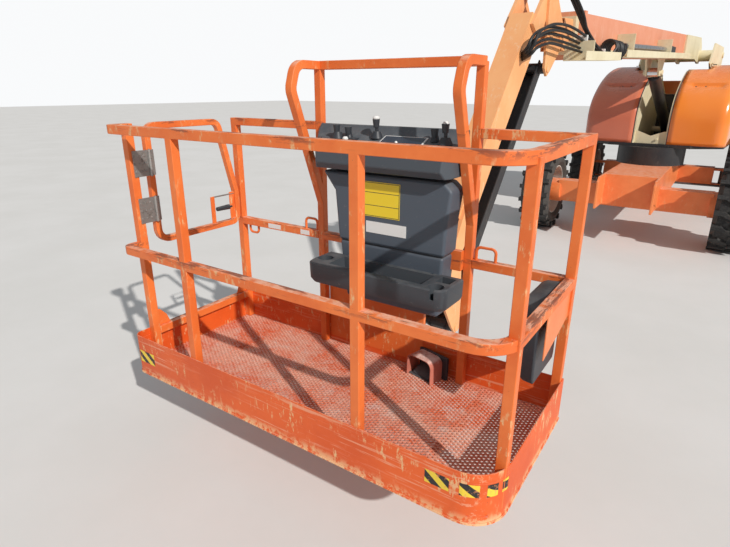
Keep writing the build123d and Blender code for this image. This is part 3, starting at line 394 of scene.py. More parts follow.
def hazard_tape():
    """Slanted yellow and black stripes, rubbed through in places."""
    look = Look("hazard_tape")
    slant = look.plus(look.axis(look.place, "X"), look.times(look.axis(look.place, "Z"), 1.3))
    band = look.math("FRACT", look.times(look.plus(slant, 10.0), 13.0))
    color = look.mix(look.math("GREATER_THAN", band, 0.5), (0.85, 0.62, 0.05), (0.02, 0.02, 0.022))
    rub = look.spots(70.0, 4.0, 0.7, 0.55, 0.66, shift=3.0)
    return look.finish(look.mix(look.times(rub, 0.7), color, (0.80, 0.30, 0.12)), 0.5)


def deck_paint():
    """Deck mesh with red paint worn pink and grey in random patches."""
    look = Look("deck_paint")
    broad = look.spots(4.5, 6.0, 0.72, 0.38, 0.62)
    spots = look.spots(60.0, 4.0, 0.7, 0.42, 0.62, shift=4.0)
    bare = look.spots(11.0, 5.0, 0.7, 0.55, 0.68, shift=9.0)
    color = look.mix(broad, (0.64, 0.11, 0.03), (0.68, 0.31, 0.215))
    color = look.mix(look.times(spots, 0.35), color, (0.80, 0.56, 0.46))
    color = look.mix(look.times(bare, 0.4), color, (0.62, 0.54, 0.50))
    return look.finish(color, 0.6)


# Painted: paint, deeper tone, faded tone, primer, how faded, how scratched, roughness
looks = {
    "rail_orange": worn_paint("rail_paint", (0.86, 0.205, 0.045), (0.75, 0.145, 0.026), (0.88, 0.50, 0.35),
        ORANGE_PRIMER, 0.85, 0.8, 0.42, streaks=0.8),
    "board": worn_paint("board_paint", (0.80, 0.125, 0.018), (0.70, 0.095, 0.013), (0.85, 0.35, 0.22),
        ORANGE_PRIMER, 0.9, 0.9, 0.45, scrapes=0.6),
    "orange": worn_paint("chassis_paint", (0.89, 0.255, 0.08), (0.80, 0.20, 0.055), (0.90, 0.45, 0.30),
        ORANGE_PRIMER, 0.8, 0.3, 0.36),
    "boom_orange": worn_paint("boom_paint", (0.93, 0.46, 0.20), (0.90, 0.39, 0.155), (0.92, 0.50, 0.34),
        (0.93, 0.72, 0.50), 0.7, 0.35, 0.4),
    "boom_faded": worn_paint("boom_faded_paint", (0.80, 0.335, 0.20), (0.76, 0.28, 0.15), (0.86, 0.50, 0.38),
        (0.90, 0.68, 0.50), 0.7, 0.35, 0.4),
    "foot_red": worn_paint("foot_guard_paint", (0.58, 0.20, 0.14), (0.44, 0.13, 0.09), (0.85, 0.62, 0.55),
        (0.85, 0.65, 0.58), 0.95, 0.8, 0.5),
    "cream": worn_paint("cream_paint", (0.80, 0.72, 0.50), (0.70, 0.61, 0.40), (0.86, 0.80, 0.62),
        (0.45, 0.36, 0.2), 0.4, 0.25, 0.42),
    "black": worn_paint("black_paint", (0.022, 0.022, 0.025), (0.035, 0.032, 0.032), (0.09, 0.085, 0.08),
        (0.16, 0.13, 0.11), 0.5, 0.3, 0.38),
    "rim_grey": worn_paint("rim_paint", (0.62, 0.60, 0.55), (0.5, 0.48, 0.44), (0.66, 0.64, 0.6),
        (0.3, 0.2, 0.14), 0.3, 0.6, 0.5),
    "hood_orange": glossy_hood("hood_gloss", (0.95, 0.275, 0.04), (0.91, 0.235, 0.03)),
    # The left hood's paint is a darker copy of the right hood's paint, as painted shade
    "hood_shaded": glossy_hood("hood_shaded_gloss", (0.68, 0.19, 0.10), (0.60, 0.155, 0.08)),
    "iron": bare_metal("dark_iron", (0.14, 0.13, 0.125), 0.55, 0.5, 0.6),
    "steel": bare_metal("plated_steel", (0.55, 0.56, 0.57), 0.34, 0.45),
    "chrome_rod": bare_metal("chrome", (0.78, 0.79, 0.8), 0.08, 0.05),
    "galvanised": bare_metal("galvanised", (0.42, 0.41, 0.39), 0.45, 0.65, 0.8),
    "console_grey": moulded_plastic("console_plastic", (0.078, 0.098, 0.125), 0.5),
    "panel_grey": moulded_plastic("panel_plastic", (0.068, 0.082, 0.098), 0.5, dusty=0.45),
    "tray_grey": moulded_plastic("tray_plastic", (0.052, 0.06, 0.07), 0.5),
    "black_plastic": moulded_plastic("black_plastic", (0.03, 0.034, 0.042), 0.45),
    "rubber_hose": moulded_plastic("hose_rubber", (0.014, 0.014, 0.015), 0.5, dusty=0.15),
    "plate_yellow": moulded_plastic("plate_yellow", (0.90, 0.66, 0.03), 0.4, (0.8, 0.75, 0.5), 0.15),
    "plate_white": moulded_plastic("plate_white", (0.80, 0.80, 0.78), 0.4, (0.6, 0.6, 0.58), 0.2),
    "screen": moulded_plastic("screen_glass", (0.012, 0.022, 0.045), 0.12, dusty=0.1),
    "tyre": tyre_rubber(),
    "hazard": hazard_tape(),
    "deck": deck_paint(),
}

# Nodes whose look is not the one of their slot; the black on the turntable's base and the slew ring is
# painted shade under the hoods
OWN_LOOKS = {"foot_switch": "foot_red", "turntable_base": "black", "slew_ring": "black",
             "boom_heel": "cream", "boom_base": "boom_faded"}
# The lift cylinder's lugs under the boom are pale: below this height, and behind this place
LUGS_BELOW = 2.08
LUGS_BEHIND = -1.60

slot_of = {part["node"]: part["material_slot"] for part in frame["record"]["subparts"]}
for name, node in nodes.items():
    node.data.materials.clear()
    node.data.materials.append(looks[OWN_LOOKS.get(name, slot_of[name])])
base = nodes["boom_base"]
base.data.materials.append(looks["cream"])
for polygon in base.data.polygons:
    place = UPPER.inverted() @ base.matrix_world @ polygon.center
    if place.z < LUGS_BELOW and place.y > LUGS_BEHIND:
        polygon.material_index = 1


# Shapes

def add_object(name, data):
    obj = bpy.data.objects.new(name, data)
    scene.collection.objects.link(obj)
    return obj


def shade(mesh):
    """Smooth shading with sharp edges kept."""
    mesh.shade_smooth()
    mesh.set_sharp_from_angle(angle=radians(SHARP_ANGLE))


def round_edges(obj, width, segments=2, angle=BEVEL_ANGLE, harden=True):
    edge = obj.modifiers.new("edge", "BEVEL")
    edge.width = width
    edge.segments = segments
    edge.limit_method = "ANGLE"
    edge.angle_limit = radians(angle)
    edge.harden_normals = harden


def on_circle(middle, radius, angle):
    """The point of a circle in a plane at an angle in degrees."""
    return middle[0] + radius * cos(radians(angle)), middle[1] + radius * sin(radians(angle))


def arc(middle, radius, first, last, steps):
    return [on_circle(middle, radius, first + (last - first) * k / steps) for k in range(steps + 1)]


def rounded(points, radii, steps=5):
    """A path whose inner corners are arcs of the given radius or radii."""
    points = [Vector(p) for p in points]
    if isinstance(radii, float):
        radii = [radii] * (len(points) - 2)
    path = [points[0]]
    for before, corner, after, radius in zip(points, points[1:], points[2:], radii):
        back = (before - corner).normalized()
        onward = (after - corner).normalized()
        half = back.angle(onward) / 2
        centre = corner + (back + onward).normalized() * radius / sin(half)
        first = corner + back * radius / tan(half) - centre
        last = corner + onward * radius / tan(half) - centre
        for k in range(steps + 1):
            path.append(centre + first.slerp(last, k / steps).normalized() * radius)
    path.append(points[-1])
    return path


def smooth_path(points, steps=6):
    """A curve through the points."""
    points = [Vector(p) for p in points]
    points = [2 * points[0] - points[1]] + points + [2 * points[-1] - points[-2]]
    path = []
    for a, b, c, d in zip(points, points[1:], points[2:], points[3:]):
        for k in range(steps):
            t = k / steps
            path.append(0.5 * (2 * b + (c - a) * t + (2 * a - 5 * b + 4 * c - d) * t ** 2
                               + (3 * b - a - 3 * c + d) * t ** 3))
    path.append(points[-2])
    return path


def square_to(ahead):
    """Two directions that are square to a third and to each other."""
    guide = Vector((0, 0, 1)) if abs(ahead.z) < 0.7 else Vector((1, 0, 0))
    across = (guide - ahead * guide.dot(ahead)).normalized()
    return across, ahead.cross(across)


def circle(place, across, other, radius, sides, turn=0.0):
    spokes = [turn + 2 * pi * k / sides for k in range(sides)]
    return [place + (across * cos(a) + other * sin(a)) * radius for a in spokes]


class Shape:
    """A mesh put together in one frame of the machine; each form added gives the shape back."""

    def __init__(self, frame):
        self.frame = frame
        self.mesh = bmesh.new()

    def loft(self, rings, caps=True, around=False):
        """Quads between rings of points; around joins the last ring to the first."""
        rows = [[self.mesh.verts.new(Vector(p)) for p in ring] for ring in rings]
        pairs = list(zip(rows, rows[1:]))
        if around:
            pairs.append((rows[-1], rows[0]))
        count = len(rows[0])
        for first, second in pairs:
            for k in range(count):
                after = (k + 1) % count
                self.mesh.faces.new((first[k], first[after], second[after], second[k]))
        if caps and not around:
            self.mesh.faces.new(rows[0])
            self.mesh.faces.new(rows[-1])
        return self

    def box(self, low, high):
        (x0, y0, z0), (x1, y1, z1) = low, high
        return self.loft([[(x0, y0, z), (x1, y0, z), (x1, y1, z), (x0, y1, z)] for z in (z0, z1)])

    def prism(self, outline, axis, start, end):
        """A flat outline pushed along an axis; its two numbers are the other axes in order."""
        order = {"x": (2, 0, 1), "y": (0, 2, 1), "z": (0, 1, 2)}[axis]
        return self.loft([[[(u, v, along)[k] for k in order] for u, v in outline] for along in (start, end)])

    def tube(self, path, width, sides=4, around=False):
        """A square or round bar along a path."""
        path = [Vector(p) for p in path]
        across = square_to((path[1] - path[0]).normalized())[0]
        reach = width / 2 if sides > 4 else width / 2 * sqrt(2)
        turn = 0 if sides > 4 else pi / 4
        rings = []
        for i, point in enumerate(path):
            back = path[i] - path[i - 1] if i else path[1] - path[0]
            onward = path[i + 1] - path[i] if i + 1 < len(path) else back
            tangent = (back.normalized() + onward.normalized()).normalized()
            across = (across - tangent * across.dot(tangent)).normalized()
            rings.append(circle(point, across, tangent.cross(across), reach, sides, turn))
        return self.loft(rings, caps=not around, around=around)

    def rod(self, start, end, radius, sides=16):
        return self.tube([start, end], 2 * radius, sides)

    def pin(self, middle, half, axis, radius, sides=16):
        """A rod along an axis that reaches as far to both sides of its middle."""
        reach = Vector([half if letter == axis else 0 for letter in "xyz"])
        return self.rod(Vector(middle) - reach, Vector(middle) + reach, radius, sides)

    def cone(self, start, end, first, last, sides=16):
        """A round bar whose radius changes from one end to the other."""
        start, end = Vector(start), Vector(end)
        across, other = square_to((end - start).normalized())
        return self.loft([circle(place, across, other, radius, sides)
                          for place, radius in ((start, first), (end, last))])

    def made(self, name, outward=True):
        """The mesh in the machine's frame, with its faces turned outward if wanted."""
        if outward:
            bmesh.ops.recalc_face_normals(self.mesh, faces=self.mesh.faces)
        self.mesh.transform(self.frame)
        mesh = bpy.data.meshes.new(name)
        self.mesh.to_mesh(mesh)
        self.mesh.free()
        return mesh

    def done(self, name, look, body, slot=None, bevel=0.0, segments=2, outward=True):
        """One object with a look that rides on a body."""
        mesh = self.made(name, outward)
        mesh.materials.append(looks[look])
        shade(mesh)
        obj = add_object(name, mesh)
        if bevel:
            round_edges(obj, bevel, segments)
        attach(obj, body)
        return obj


def carve(obj, shape):
    """Takes a shape out of an object's mesh."""
    cutter = add_object("cutter", shape.made("cutter"))
    cut = obj.modifiers.new("carve", "BOOLEAN")
    cut.operation = "DIFFERENCE"
    cut.solver = "EXACT"
    cut.object = cutter
    obj.modifiers.move(len(obj.modifiers) - 1, 0)
    for other in obj.modifiers[1:]:
        other.show_viewport = False
    graph = bpy.context.evaluated_depsgraph_get()
    mesh = bpy.data.meshes.new_from_object(obj.evaluated_get(graph))
    for other in obj.modifiers[1:]:
        other.show_viewport = True
    obj.modifiers.remove(obj.modifiers["carve"])
    obj.data = mesh
    shade(mesh)
    bpy.data.objects.remove(cutter)


def boxes(name, look, body, slot, bevel, corners, place=PLATFORM):
    """One object made of plain boxes, each given by its low and its high corner."""
    shape = Shape(place)
    for low, high in corners:
        shape.box(low, high)
    shape.done(name, look, body, slot, bevel)


# Work platform

def expanded_metal(node, body):
    """Deck of diamonds in staggered rows, each with a sunk hole, cut off at the deck's edge."""
    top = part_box(node)[1].z
    low = platform_low + Vector((MESH_INSET, MESH_INSET, 0))
    high = platform_low + Vector((LENGTH - MESH_INSET, DEPTH - MESH_INSET, 0))
    verts = []
    faces = []

    def inside(x, y):
        if not (low.x < x < high.x and low.y < y < high.y):
            return False
        corner = MESH_NEAR_CORNER if x < (low.x + high.x) / 2 else FAR_CORNER - MESH_INSET
        dx = max(low.x + corner - x, x - high.x + corner, 0)
        dy = max(low.y + corner - y, 0)
        return dx * dx + dy * dy < corner * corner

    columns = int((high.x - low.x) / MESH_LONG) + 2
    rows = int((high.y - low.y) / (MESH_SHORT / 2)) + 2
    ring = ((0.5, 0.0), (0.0, 0.5), (-0.5, 0.0), (0.0, -0.5))
    # rings of a diamond, from its outer top edge through the hole to its outer foot: scale, level
    layers = ((1.0, 0.0), (MESH_HOLE, -MESH_SINK), (MESH_HOLE, -MESH_THICK), (1.0, -MESH_THICK))
    for row in range(rows):
        for column in range(columns):
            x = low.x + (column + 0.5 * (row % 2)) * MESH_LONG
            y = low.y + row * MESH_SHORT / 2
            if not inside(x, y):
                continue
            start = len(verts)
            for scale, level in layers:
                for u, v in ring:
                    px = min(max(x + u * scale * MESH_LONG, low.x), high.x)
                    py = min(max(y + v * scale * MESH_SHORT, low.y), high.y)
                    verts.append((px, py, top + level))
            for layer in range(3):
                for k in range(4):
                    a = start + layer * 4 + k
                    b = start + layer * 4 + (k + 1) % 4
                    faces.append((a, b, b + 4, a + 4))
    mesh = bpy.data.meshes.new("deck_mesh")
    mesh.from_pydata(verts, [], faces)
    mesh.materials.append(looks["deck"])
    obj = add_object("deck_mesh", mesh)
    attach(obj, body)
    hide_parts(node)


def plan(inward):
    """Platform outline from the rear left corner round the front to the rear right corner."""
    near = arc((GATE_CORNER, GATE_CORNER), GATE_CORNER - inward, 180, 270, 8)
    far = arc((LENGTH - FAR_CORNER, FAR_CORNER), FAR_CORNER - inward, 270, 360, 8)
    return [(inward, DEPTH - inward)] + near + far + [(LENGTH - inward, DEPTH - inward)]


def wall(shape, outer, inner, low, high, around=True):
    """A standing sheet between two outlines."""
    shape.loft([[(ox, oy, low), (ox, oy, high), (ix, iy, high), (ix, iy, low)]
                for (ox, oy), (ix, iy) in zip(outer, inner)], caps=not around, around=around)


def toe_board():
    """Board round the platform, lower between the gate's posts, with a lip at its foot and the cross bars."""
    shape = Shape(PLATFORM)
    wall(shape, plan(LIP), plan(LIP + SHEET), 0, SILL)

    def open_plan(inward):
        return [(inward, GATE_START)] + plan(inward)[1:] + [(inward, DEPTH - inward), (inward, REAR_FACE)]

    wall(shape, open_plan(LIP), open_plan(LIP + SHEET), SILL, BOARD_HEIGHT, around=False)
    wall(shape, plan(0), plan(LIP), 0, LIP_HEIGHT)
    for x in CROSS_BARS_X:
        shape.box((x - 0.015, LIP + SHEET, 0.004), (x + 0.015, DEPTH - LIP - SHEET, DECK_TOP - 0.006))
    board = shape.done("toe_board_sheet", "board", "platform", "rail_orange", 0.0012)
    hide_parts("toe_boards")


def rails():
    """Top and mid rails, posts, the sill bar with its gussets, and the loops for lanyards."""
    shape = Shape(PLATFORM)
    for level in (TOP_RAIL, MID_RAIL):
        path = [(LEFT_X, GATE_START, level), (LEFT_X, NEAR_Y, level), (RIGHT_X, NEAR_Y, level),
                (RIGHT_X, REAR_Y + TUBE / 2, level)]
        shape.tube(rounded(path, [0.030, FAR_CORNER - RAIL_INSET], 7), TUBE)
        for start, finish in ((LEFT_X - TUBE / 2, GUARD_LEFT - TUBE / 2),
                              (GUARD_RIGHT + TUBE / 2, RIGHT_X - TUBE / 2)):
            shape.tube([(start, REAR_Y, level), (finish, REAR_Y, level)], TUBE)
    # x, y of each post
    for x, y in ((0.447, NEAR_Y), (1.325, NEAR_Y), (LEFT_X, END_POST_Y), (RIGHT_X, 0.117),
                 (LEFT_X, REAR_Y), (RIGHT_X, REAR_Y)):
        shape.tube([(x, y, DECK_TOP), (x, y, TOP_RAIL)], POST)
    shape.tube([(LEFT_X, GATE_START, SILL + TUBE / 2), (LEFT_X, REAR_FACE, SILL + TUBE / 2)], TUBE)
    gusset = 0.072
    steps = ((0, 0), (1, 0), (0.75, 0.65), (0.25, 1.2), (0, 1.2))
    for corner, way in ((GATE_START, 1), (REAR_FACE, -1)):
        outline = [(corner + way * gusset * a, SILL + TUBE + gusset * b) for a, b in steps]
        shape.prism(outline, "x", LEFT_X - 0.003, LEFT_X + 0.003)
    # loops on the rear mid rail: start, finish, rise
    for start, finish, rise in ((0.085, 0.150, -0.062), (0.500, 0.575, 0.075), (1.440, 1.525, 0.075)):
        corners = ((start, 0), (start, rise), (finish, rise), (finish, 0))
        shape.tube(rounded([(x, REAR_Y, MID_RAIL + up) for x, up in corners], 0.02), 0.013, 10)
    frame_rails = shape.done("rail_tubes", "rail_orange", "platform", "rail_orange", 0.004)
    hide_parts("guard_rails")


def hinge_leaves():
    """Leaves on the end post with their bolts and the two outer barrels of each hinge."""
    leaves = Shape(PLATFORM)
    face = LEFT_X + TUBE / 2
    back = face + HINGE_SHEET
    barrel = 0.0195
    for level in HINGE_LEVELS:
        leaves.box((face, END_POST_Y - 0.005, level - LEAF_HALF), (back, hinge.y - 0.010, level + LEAF_HALF))
        for middle in (level - 0.039, level + 0.039):
            leaves.pin((hinge.x, hinge.y, middle), barrel, "z", HINGE_RADIUS)
            leaves.box((face, hinge.y - 0.012, middle - barrel), (back, hinge.y, middle + barrel))
        for y in (0.113, 0.137, 0.161):
            for z in (-0.035, 0.0, 0.035):
                leaves.rod((face + 0.004, y, level + z), (face + 0.008, y, level + z), 0.005, 8)
    leaves.done("gate_hinge_leaves", "galvanised", "platform", "steel", 0.0008)


def console_guard():
    """Posts, slanted hoops and cross bars round the console."""
    shape = Shape(PLATFORM)
    for x in (GUARD_LEFT, GUARD_RIGHT):
        shape.tube([(x, REAR_Y, DECK_TOP), (x, REAR_Y, GUARD_BAR)], POST)
        hoop = [(x, REAR_Y, GUARD_BAR), (x, 0.575, GUARD_BAR), (x, 0.540, 1.330), (x, REAR_Y, 0.800)]
        shape.tube(rounded(hoop, 0.060, 7), HOOP)
    for level in (GUARD_BAR, MID_RAIL):
        shape.tube([(GUARD_LEFT, REAR_Y, level), (GUARD_RIGHT, REAR_Y, level)], TUBE)
    guard = shape.done("console_guard_tubes", "rail_orange", "platform", "rail_orange", 0.004)
    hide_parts("console_guard")


def gate():
    """Gate loop with its slanted side, the latch plate and bar, and its half of the hinges."""
    shape = Shape(PLATFORM)
    middle = (GATE_NEAR + GATE_FAR) / 2
    # y, height round the loop
    loop = ((middle, GATE_TOP), (GATE_FAR - 0.090, GATE_TOP), (GATE_FAR, GATE_KNEE), (GATE_FAR, GATE_FOOT),
            (GATE_NEAR, GATE_FOOT), (GATE_NEAR, GATE_TOP), (middle, GATE_TOP))
    path = rounded([(LEFT_X, y, z) for y, z in loop], [0.045, 0.03, 0.045, 0.055, 0.045], 6)
    shape.tube(path[:-1], GATE_TUBE, around=True)
    shape.box((LEFT_X - 0.003, GATE_FAR - 0.045, GATE_FOOT), (LEFT_X + 0.003, GATE_FAR + 0.012, GATE_KNEE))
    shape.box((LEFT_X - 0.004, 0.528, GATE_FOOT), (LEFT_X + 0.004, 0.553, 0.792))
    tubes = shape.done("gate_loop", "rail_orange", "entry_gate", "rail_orange", 0.003)
    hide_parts("gate")
    metal = Shape(PLATFORM)
    face = LEFT_X + GATE_TUBE / 2
    back = face + HINGE_SHEET
    for level in HINGE_LEVELS:
        metal.pin((hinge.x, hinge.y, level), 0.019, "z", HINGE_RADIUS)
        metal.box((face, hinge.y, level - 0.019), (back, GATE_NEAR, level + 0.019))
        metal.box((face, GATE_NEAR - 0.014, level - 0.058), (back, GATE_NEAR + 0.016, level + 0.058))
        metal.pin((hinge.x, hinge.y, level), 0.062, "z", 0.004)
    metal.rod((LEFT_X, 0.540, 0.788), (LEFT_X, GATE_FAR, 0.788), 0.004, 10)
    metal.done("gate_metal", "galvanised", "entry_gate", "steel", 0.0008)
    grip_z = 0.720
    grip = Shape(PLATFORM).cone((LEFT_X, 0.565, grip_z), (LEFT_X, 0.650, grip_z), 0.011, 0.014)
    grip.rod((LEFT_X, 0.650, grip_z), (LEFT_X, GATE_FAR - 0.03, grip_z), 0.006, 10)
    grip.done("gate_latch_grip", "black_plastic", "entry_gate", "black_plastic", 0.002)


def console_body():
    """The console's upper and lower bodies, the dark joints between them, and its blank plates."""
    # x from the console's middle, height
    upper = ((-0.280, 0.985), (-0.212, 0.900), (-0.192, 0.676), (0.346, 0.676), (0.352, 0.830),
             (0.368, 0.950), (0.330, 0.985))
    lower = ((-0.190, 0.672), (0.340, 0.672), (0.325, 0.400), (-0.155, 0.400))
    for name, outline, front in (("console_body", upper, CONSOLE_FRONT),
                                 ("console_lower_body", lower, CONSOLE_FRONT + 0.006)):
        shape = Shape(PLATFORM).prism([(CONSOLE_X + x, z) for x, z in outline], "y", front, CONSOLE_BACK)
        shape.done(name, "console_grey", "platform", "console_grey", 0.014, segments=3)
    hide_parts("console")
    boxes("console_neck", "black_plastic", "platform", "black_plastic", 0.002,
          [((CONSOLE_X - 0.23, CONSOLE_BACK - 0.085, 0.980), (CONSOLE_X + 0.31, CONSOLE_BACK, 1.004)),
           ((CONSOLE_X - 0.185, CONSOLE_FRONT + 0.012, 0.670), (CONSOLE_X + 0.335, CONSOLE_BACK, 0.678))])
    front = CONSOLE_FRONT - 0.0015
    back = CONSOLE_FRONT + 0.0002
    half = 0.0012
    lines = [((0.960, CONSOLE_FRONT - 0.0018, z - half), (1.140, CONSOLE_FRONT, z + half))
             for z in (0.810, 0.856, 0.912, 0.954)]
    lines += [((x - half, CONSOLE_FRONT - 0.0019, 0.810), (x + half, CONSOLE_FRONT, 0.954))
              for x in (0.961, 1.139)]
    # name, look and boxes of each plate
    for name, look, corners in (
            ("console_plate_yellow", "plate_yellow", [((0.958, front, 0.806), (1.142, back, 0.958))]),
            ("console_plate_lines", "black_plastic", lines),
            ("console_plate_white", "plate_white", [((0.972, front, 0.733), (1.176, back, 0.784))])):
        boxes(name, look, "platform", None, 0.0, corners)


def console_tray():
    """Tray under the console with a long trough, two cups, a small hole and two pockets."""
    left, right = TRAY_X - TRAY_HALF, TRAY_X + TRAY_HALF
    edge = [(left, TRAY_BACK)]
    edge += arc((left + TRAY_CORNER, TRAY_FRONT + TRAY_CORNER), TRAY_CORNER, 180, 270, 6)
    edge += arc((right - TRAY_CORNER, TRAY_FRONT + TRAY_CORNER), TRAY_CORNER, 270, 360, 6)
    edge += [(right, TRAY_BACK)]
    middle_y = (TRAY_FRONT + TRAY_BACK) / 2

    def ring(inset, z):
        share = 1 - inset / TRAY_HALF
        return [(TRAY_X + (x - TRAY_X) * share, min(y + inset, TRAY_BACK) if y < middle_y else y, z)
                for x, y in edge]

    shape = Shape(PLATFORM)
    # how far in the tray's side lies, height
    shape.loft([ring(inset, z) for inset, z in ((0.030, TRAY_BOTTOM), (0.012, TRAY_BOTTOM + 0.006),
                                                (0.002, TRAY_BOTTOM + 0.024), (0.0, TRAY_TOP - 0.006),
                                                (0.006, TRAY_TOP))])
    tray = shape.done("console_tray", "tray_grey", "platform", "console_grey")
    above = TRAY_TOP + 0.01
    left, right, front, back = 0.860, 1.330, 0.462, 0.585
    carve(tray, Shape(PLATFORM).loft([[(left + t, front + t, z), (right - t, front + t, z),
                                       (right - t, back - t, z), (left + t, back - t, z)]
                                      for t, z in ((0.012, TRAY_TOP - 0.055), (0.0, above))]))
    # cup or hole: x, y, radius, depth
    for x, y, radius, depth in ((0.802, 0.522, 0.036, 0.07), (1.392, 0.470, 0.034, 0.07),
                                (1.306, 0.600, 0.008, 0.02)):
        carve(tray, Shape(PLATFORM).cone((x, y, TRAY_TOP - depth), (x, y, above), radius * 0.85, radius, 24))
    # pocket: left, right, front, back, depth
    for left, right, front, back, depth in ((1.362, 1.424, 0.525, 0.590, 0.03),
                                            (1.384, 1.402, 0.420, 0.452, 0.045)):
        carve(tray, Shape(PLATFORM).box((left, front, TRAY_TOP - depth), (right, back, above)))
    round_edges(tray, 0.004, angle=50.0, harden=False)


def slope(y):
    """Height of the control panel's sloping top."""
    (foot_y, foot_z), (head_y, head_z) = SLOPE_FOOT, SLOPE_HEAD
    return foot_z + (y - foot_y) * (head_z - foot_z) / (head_y - foot_y)


def console_panel():
    """Control panel with two cut corners."""
    profile = [(0.545, 1.004), (0.525, 1.032), SLOPE_FOOT, SLOPE_HEAD, (CONSOLE_BACK - 0.012, 1.182),
               (CONSOLE_BACK, 1.182), (CONSOLE_BACK, 1.004)]
    shape = Shape(PLATFORM).prism(profile, "x", CONSOLE_X - 0.370, CONSOLE_X + 0.374)
    panel = shape.done("control_panel", "panel_grey", "platform", "console_grey", 0.012, segments=3)
    for outline in (((0.60, 0.50), (0.77, 0.50), (0.64, 0.69), (0.60, 0.69)),
                    ((1.345, 0.50), (1.40, 0.50), (1.40, 0.60))):
        carve(panel, Shape(PLATFORM).prism(outline, "z", 0.99, 1.20))


def console_controls():
    """Levers, switches, pale knobs and the screen on the control panel."""
    dark = Shape(PLATFORM)
    # levers: x, y, boot radius, height
    for x, y, radius, height in ((0.790, 0.640, 0.030, 0.060), (0.846, 0.650, 0.018, 0.048),
                                 (0.985, 0.660, 0.028, 0.080), (1.262, 0.660, 0.020, 0.052),
                                 (1.318, 0.640, 0.032, 0.082)):
        foot = slope(y) - 0.002
        dark.cone((x, y, foot), (x, y, foot + 0.030), radius, radius * 0.55)
        dark.rod((x, y, foot + 0.028), (x, y - 0.004, foot + height), 0.007, 12)
        dark.cone((x, y - 0.004, foot + height - 0.035), (x, y - 0.006, foot + height), 0.012, 0.016)
    # switches and knobs in front: x, y, radius
    for x, y, radius in ((0.720, 0.600, 0.012), (0.760, 0.596, 0.009), (0.900, 0.590, 0.010),
                         (1.030, 0.575, 0.010), (1.085, 0.578, 0.010), (1.130, 0.578, 0.011),
                         (1.172, 0.580, 0.010), (1.290, 0.590, 0.012)):
        foot = slope(y) - 0.002
        dark.cone((x, y, foot), (x, y, foot + 0.008), radius * 1.6, radius * 1.5)
        dark.cone((x, y, foot + 0.007), (x, y, foot + 0.024), radius, radius * 0.85)
    dark.box((0.858, 0.605, slope(0.63) - 0.006), (0.902, 0.665, slope(0.63) + 0.010))
    dark.done("control_levers", "black_plastic", "platform", "black_plastic", 0.0015)
    knobs = Shape(PLATFORM)
    # pale knobs: x, y, rise over the panel, radius
    for x, y, rise, radius in ((0.985, 0.654, 0.083, 0.016), (0.862, 0.600, 0.020, 0.013),
                               (1.318, 0.634, 0.082, 0.012), (1.130, 0.578, 0.026, 0.007)):
        foot = slope(y) + rise - 0.006
        knobs.cone((x, y, foot), (x, y, foot + 0.008), radius * 0.8, radius)
        knobs.cone((x, y, foot + 0.008), (x, y, foot + 0.016), radius, radius * 0.6)
    knobs.done("control_knobs", "plate_white", "platform", "steel", 0.001)
    # screen's rim and glass: name, look, slot, how far in from the rim, rise over the panel
    for name, look, slot, inset, rise in (("control_screen_rim", "plate_white", "steel", 0.0, 0.004),
                                          ("control_screen", "screen", "console_grey", 0.006, 0.0055)):
        left, right = 1.020 + inset, 1.225 - inset
        front, back = 0.612 + inset, 0.676 - inset
        plan_view = ((left, front), (right, front), (right, back), (left, back))
        low = [(x, y, slope(y) - 0.004) for x, y in plan_view]
        pad = Shape(PLATFORM).loft([low, [(x, y, z + 0.004 + rise) for x, y, z in low]])
        pad.done(name, look, "platform", slot, 0.001)


def manual_box():
    """Box for papers on the right mid rail and the plate it hangs on."""
    outer = RIGHT_X - TUBE / 2 - SEAT
    shape = Shape(PLATFORM)
    # height, how far the box stands out from the rail, its near end, its far end
    levels = ((0.312, 0.045, 0.450, 0.700), (0.340, 0.064, 0.436, 0.712), (0.560, 0.076, 0.430, 0.712),
              (0.590, 0.086, 0.440, 0.712), (0.628, 0.076, 0.482, 0.712), (0.642, 0.050, 0.510, 0.700))
    shape.loft([[(outer, near, z), (outer, far, z), (outer - reach, far - 0.012, z),
                 (outer - reach, near + 0.012, z)] for z, reach, near, far in levels])
    box = shape.done("paper_box", "black_plastic", "platform", "black_plastic", 0.012, segments=3)
    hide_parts("manual_box")
    outline = [(0.430, 0.613), (REAR_Y, 0.613), (REAR_Y, 0.500), (0.620, 0.470), (0.430, 0.430)]
    plate = Shape(PLATFORM).prism(outline, "x", RIGHT_X + 0.006, RIGHT_X + 0.010)
    plate.done("paper_box_plate", "orange", "platform", "rail_orange", 0.001)


def foot_guard():
    """Arched guard over the foot switch, turned a little, with a dark body behind it and the pedal inside."""
    place = PLATFORM @ Matrix.Translation((1.2315, 0.656, DECK_TOP)) @ Matrix.Rotation(radians(-14), 4, "Z")
    half, height, corner, deep, sheet = 0.0745, 0.112, 0.034, 0.083, 0.004

    def arch(inset):
        rise = height - corner
        left = arc((-half + corner, rise), corner - inset, 180, 90, 6)
        right = arc((half - corner, rise), corner - inset, 90, 0, 6)
        return [(-half + inset, 0.0)] + left + right + [(half - inset, 0.0)]

    shape = Shape(place)
    shape.loft([[(ox, 0, oz), (ox, deep, oz), (ix, deep, iz), (ix, 0, iz)]
                for (ox, oz), (ix, iz) in zip(arch(0.0), arch(sheet))])
    guard = shape.done("foot_guard", "foot_red", "platform", "console_grey", 0.0008)
    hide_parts("foot_switch")
    body = Shape(place)
    body.box((-0.070, deep, 0), (0.100, 0.100, 0.116))
    body.box((-half + sheet, 0.012, 0.0), (half - sheet, deep, 0.008))
    body.prism([(0.016, 0.008), (deep, 0.008), (deep, 0.052), (0.024, 0.022)], "x", -0.050, 0.050)
    body.done("foot_switch_body", "black_plastic", "platform", "black_plastic", 0.006)


